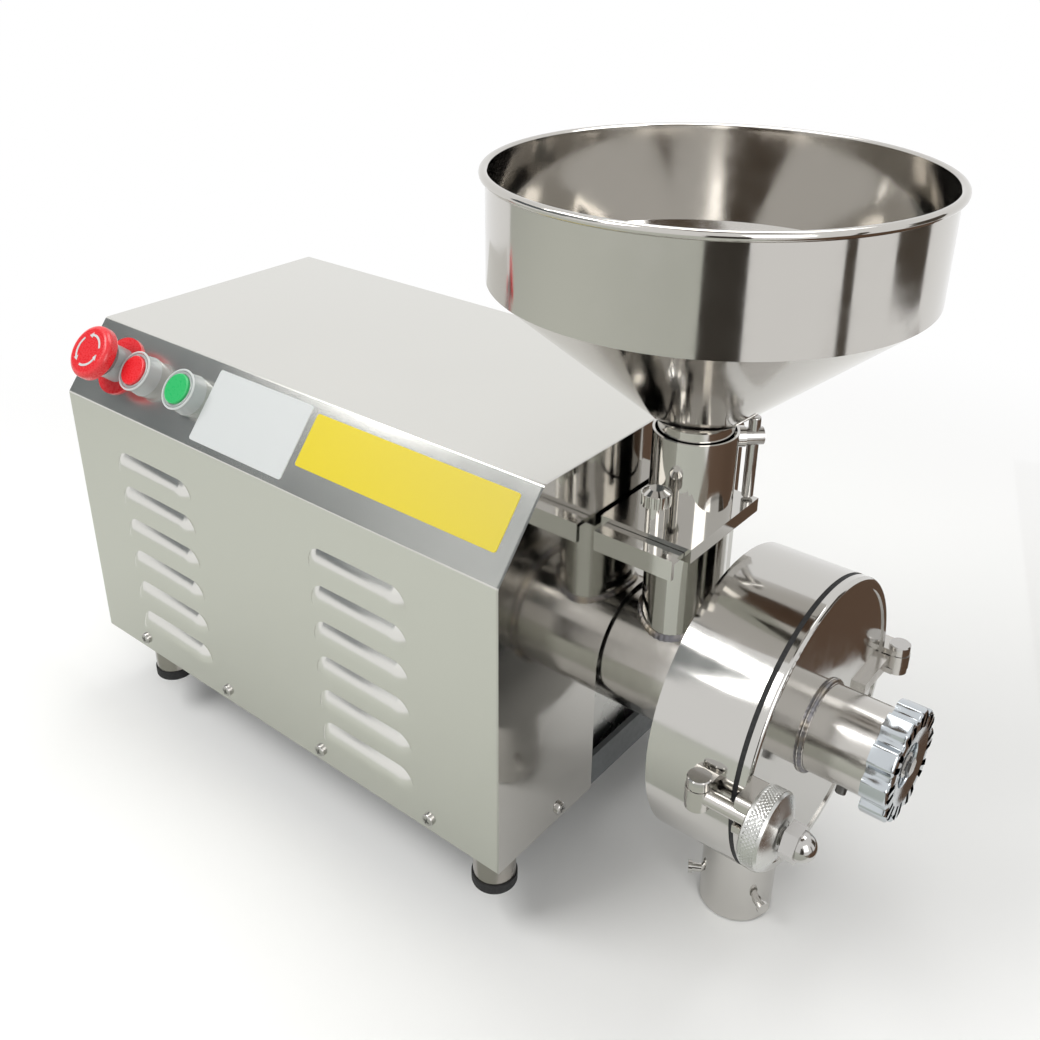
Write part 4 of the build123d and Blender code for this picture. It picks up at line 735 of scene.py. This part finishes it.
# %% World
world = bpy.data.worlds.new("white room")
bpy.context.scene.world = world
world.use_nodes = True
sky = world.node_tree
sky.nodes.clear()
path = add(sky, "ShaderNodeLightPath")
seen = add(sky, "ShaderNodeMath", {0: path.outputs["Is Camera Ray"], 1: path.outputs["Is Glossy Ray"]},
           operation="MAXIMUM")
seen = add(sky, "ShaderNodeMath", {0: seen.outputs[0], 1: path.outputs["Is Transmission Ray"]},
           operation="MAXIMUM")
room = add(sky, "ShaderNodeBackground", inputs={"Color": colour("ffffff"), "Strength": 0.45})
backdrop = add(sky, "ShaderNodeBackground", inputs={"Color": colour("ffffff"), "Strength": 1.0})
mix = add(sky, "ShaderNodeMixShader", {"Fac": seen.outputs[0], 1: room.outputs[0], 2: backdrop.outputs[0]})
add(sky, "ShaderNodeOutputWorld", {"Surface": mix.outputs[0]})


# %% Lamps
def softbox(name, place, target, size, power):
    """Rectangular area lamp at a place, turned to a target."""
    lamp = bpy.data.lights.new(name, "AREA")
    lamp.shape = "RECTANGLE"
    lamp.size, lamp.size_y = size
    lamp.energy = power
    holder = bpy.data.objects.new(name, lamp)
    holder.location = place
    holder.rotation_euler = (Vector(target) - Vector(place)).to_track_quat("-Z", "Y").to_euler()
    bpy.context.scene.collection.objects.link(holder)
    return holder


def dark_card(name, code, place, target, size, roll_deg=0):
    """Matt card that only reflections see, as a photographer's flag out of the picture."""
    mesh = bpy.data.meshes.new(name)
    form = bmesh.new()
    bmesh.ops.create_grid(form, x_segments=1, y_segments=1, size=0.5)
    bmesh.ops.scale(form, vec=(*size, 1), verts=form.verts)
    bmesh.ops.rotate(form, matrix=Matrix.Rotation(math.radians(roll_deg), 3, "Z"), verts=form.verts)
    turn = (Vector(target) - Vector(place)).to_track_quat("Z", "Y").to_matrix().to_4x4()
    bmesh.ops.transform(form, matrix=Matrix.Translation(place) @ turn, verts=form.verts)
    form.to_mesh(mesh)
    form.free()
    mesh.materials.append(new_material(name, code, 0.9)[0])
    card = bpy.data.objects.new(name, mesh)
    bpy.context.scene.collection.objects.link(card)
    card.visible_camera = card.visible_diffuse = card.visible_shadow = card.visible_transmission = False
    return card


dark_card("card_behind_camera", "3a352f", (0.52, -0.68, 0.22), (0.03, 0, 0.4), (0.28, 0.6))
dark_card("card_right", "4a4239", (0.95, 0.03, 0.2), (0.03, 0, 0.4), (0.09, 0.7))
dark_card("card_left_slope", "5d6468", (-1.15, -0.8, 0.78), (-0.21, -0.12, 0.26), (1.0, 0.6))
dark_card("card_slope_right", "8b9092", (-0.62, -0.86, 0.9), (-0.21, -0.12, 0.26), (0.6, 0.6))
dark_card("card_table_front", "c4c7bf", (-0.5, -0.75, cad_box[0][2]), (-0.5, -0.75, 1), (2.2, 1.18))
dark_card("card_table_right", "5d4634", (0.588, 0.333, cad_box[0][2]), (0.588, 0.333, 1), (0.74, 1.2), 20)
dark_card("card_overhead", "57493a", (0.25, -0.1, 1.9), (0.03, 0, 0.3), (0.9, 0.5))
dark_card("card_back_right", "4d443a", (0.9, 0.75, 0.35), (0.05, 0, 0.2), (0.5, 0.7))
softbox("key over the front left", (-0.9, -1.1, 1.6), (-0.1, 0, 0.2), (1.2, 0.9), 22)
softbox("fill from the right", (1.5, -0.9, 0.9), (0, 0, 0.2), (0.9, 1.2), 10)
softbox("top light", (-0.1, 0.5, 1.9), (-0.1, 0, 0.2), (1.4, 1.0), 14)
print("lamps", len(bpy.data.lights))

# %% [markdown]
# ## Camera
# The photograph looks down at the mill from its front right corner, from about 0.8 m. Its optical
# centre lies above the middle of the picture, as after a crop, hence the shift.

# %% Camera
PHOTO_PX = 1040
CAMERA_PLACE_MM = (329.9, -537.0, 578.9)
CAMERA_AZIMUTH = 129.03
CAMERA_ELEVATION = -26.03
CAMERA_ROLL = 0.32
FOCAL_PX = 1131.4
CENTRE_PX = (514.2, 438.7)
SENSOR_MM = 36.0
lens = bpy.data.cameras.new("camera")
lens.sensor_width = SENSOR_MM
lens.lens = FOCAL_PX / PHOTO_PX * SENSOR_MM
lens.shift_x = (PHOTO_PX / 2 - CENTRE_PX[0]) / PHOTO_PX
lens.shift_y = -(PHOTO_PX / 2 - CENTRE_PX[1]) / PHOTO_PX
lens.clip_start = 0.01
camera = bpy.data.objects.new("camera", lens)
azimuth, elevation = math.radians(CAMERA_AZIMUTH), math.radians(CAMERA_ELEVATION)
level = Vector((math.cos(azimuth), math.sin(azimuth), 0))
forward = level * math.cos(elevation) + Vector((0, 0, math.sin(elevation)))
right = Vector((math.sin(azimuth), -math.cos(azimuth), 0))
up = right.cross(forward)
roll = math.radians(CAMERA_ROLL)
right, up = right * math.cos(roll) + up * math.sin(roll), up * math.cos(roll) - right * math.sin(roll)
turn = Matrix((right, up, -forward)).transposed()
camera.matrix_world = Matrix.Translation(Vector(CAMERA_PLACE_MM) * MM) @ turn.to_4x4()
bpy.context.scene.collection.objects.link(camera)
bpy.context.scene.camera = camera
bpy.context.scene.view_settings.view_transform = "Standard"
print("lens", round(lens.lens, 1), "mm")
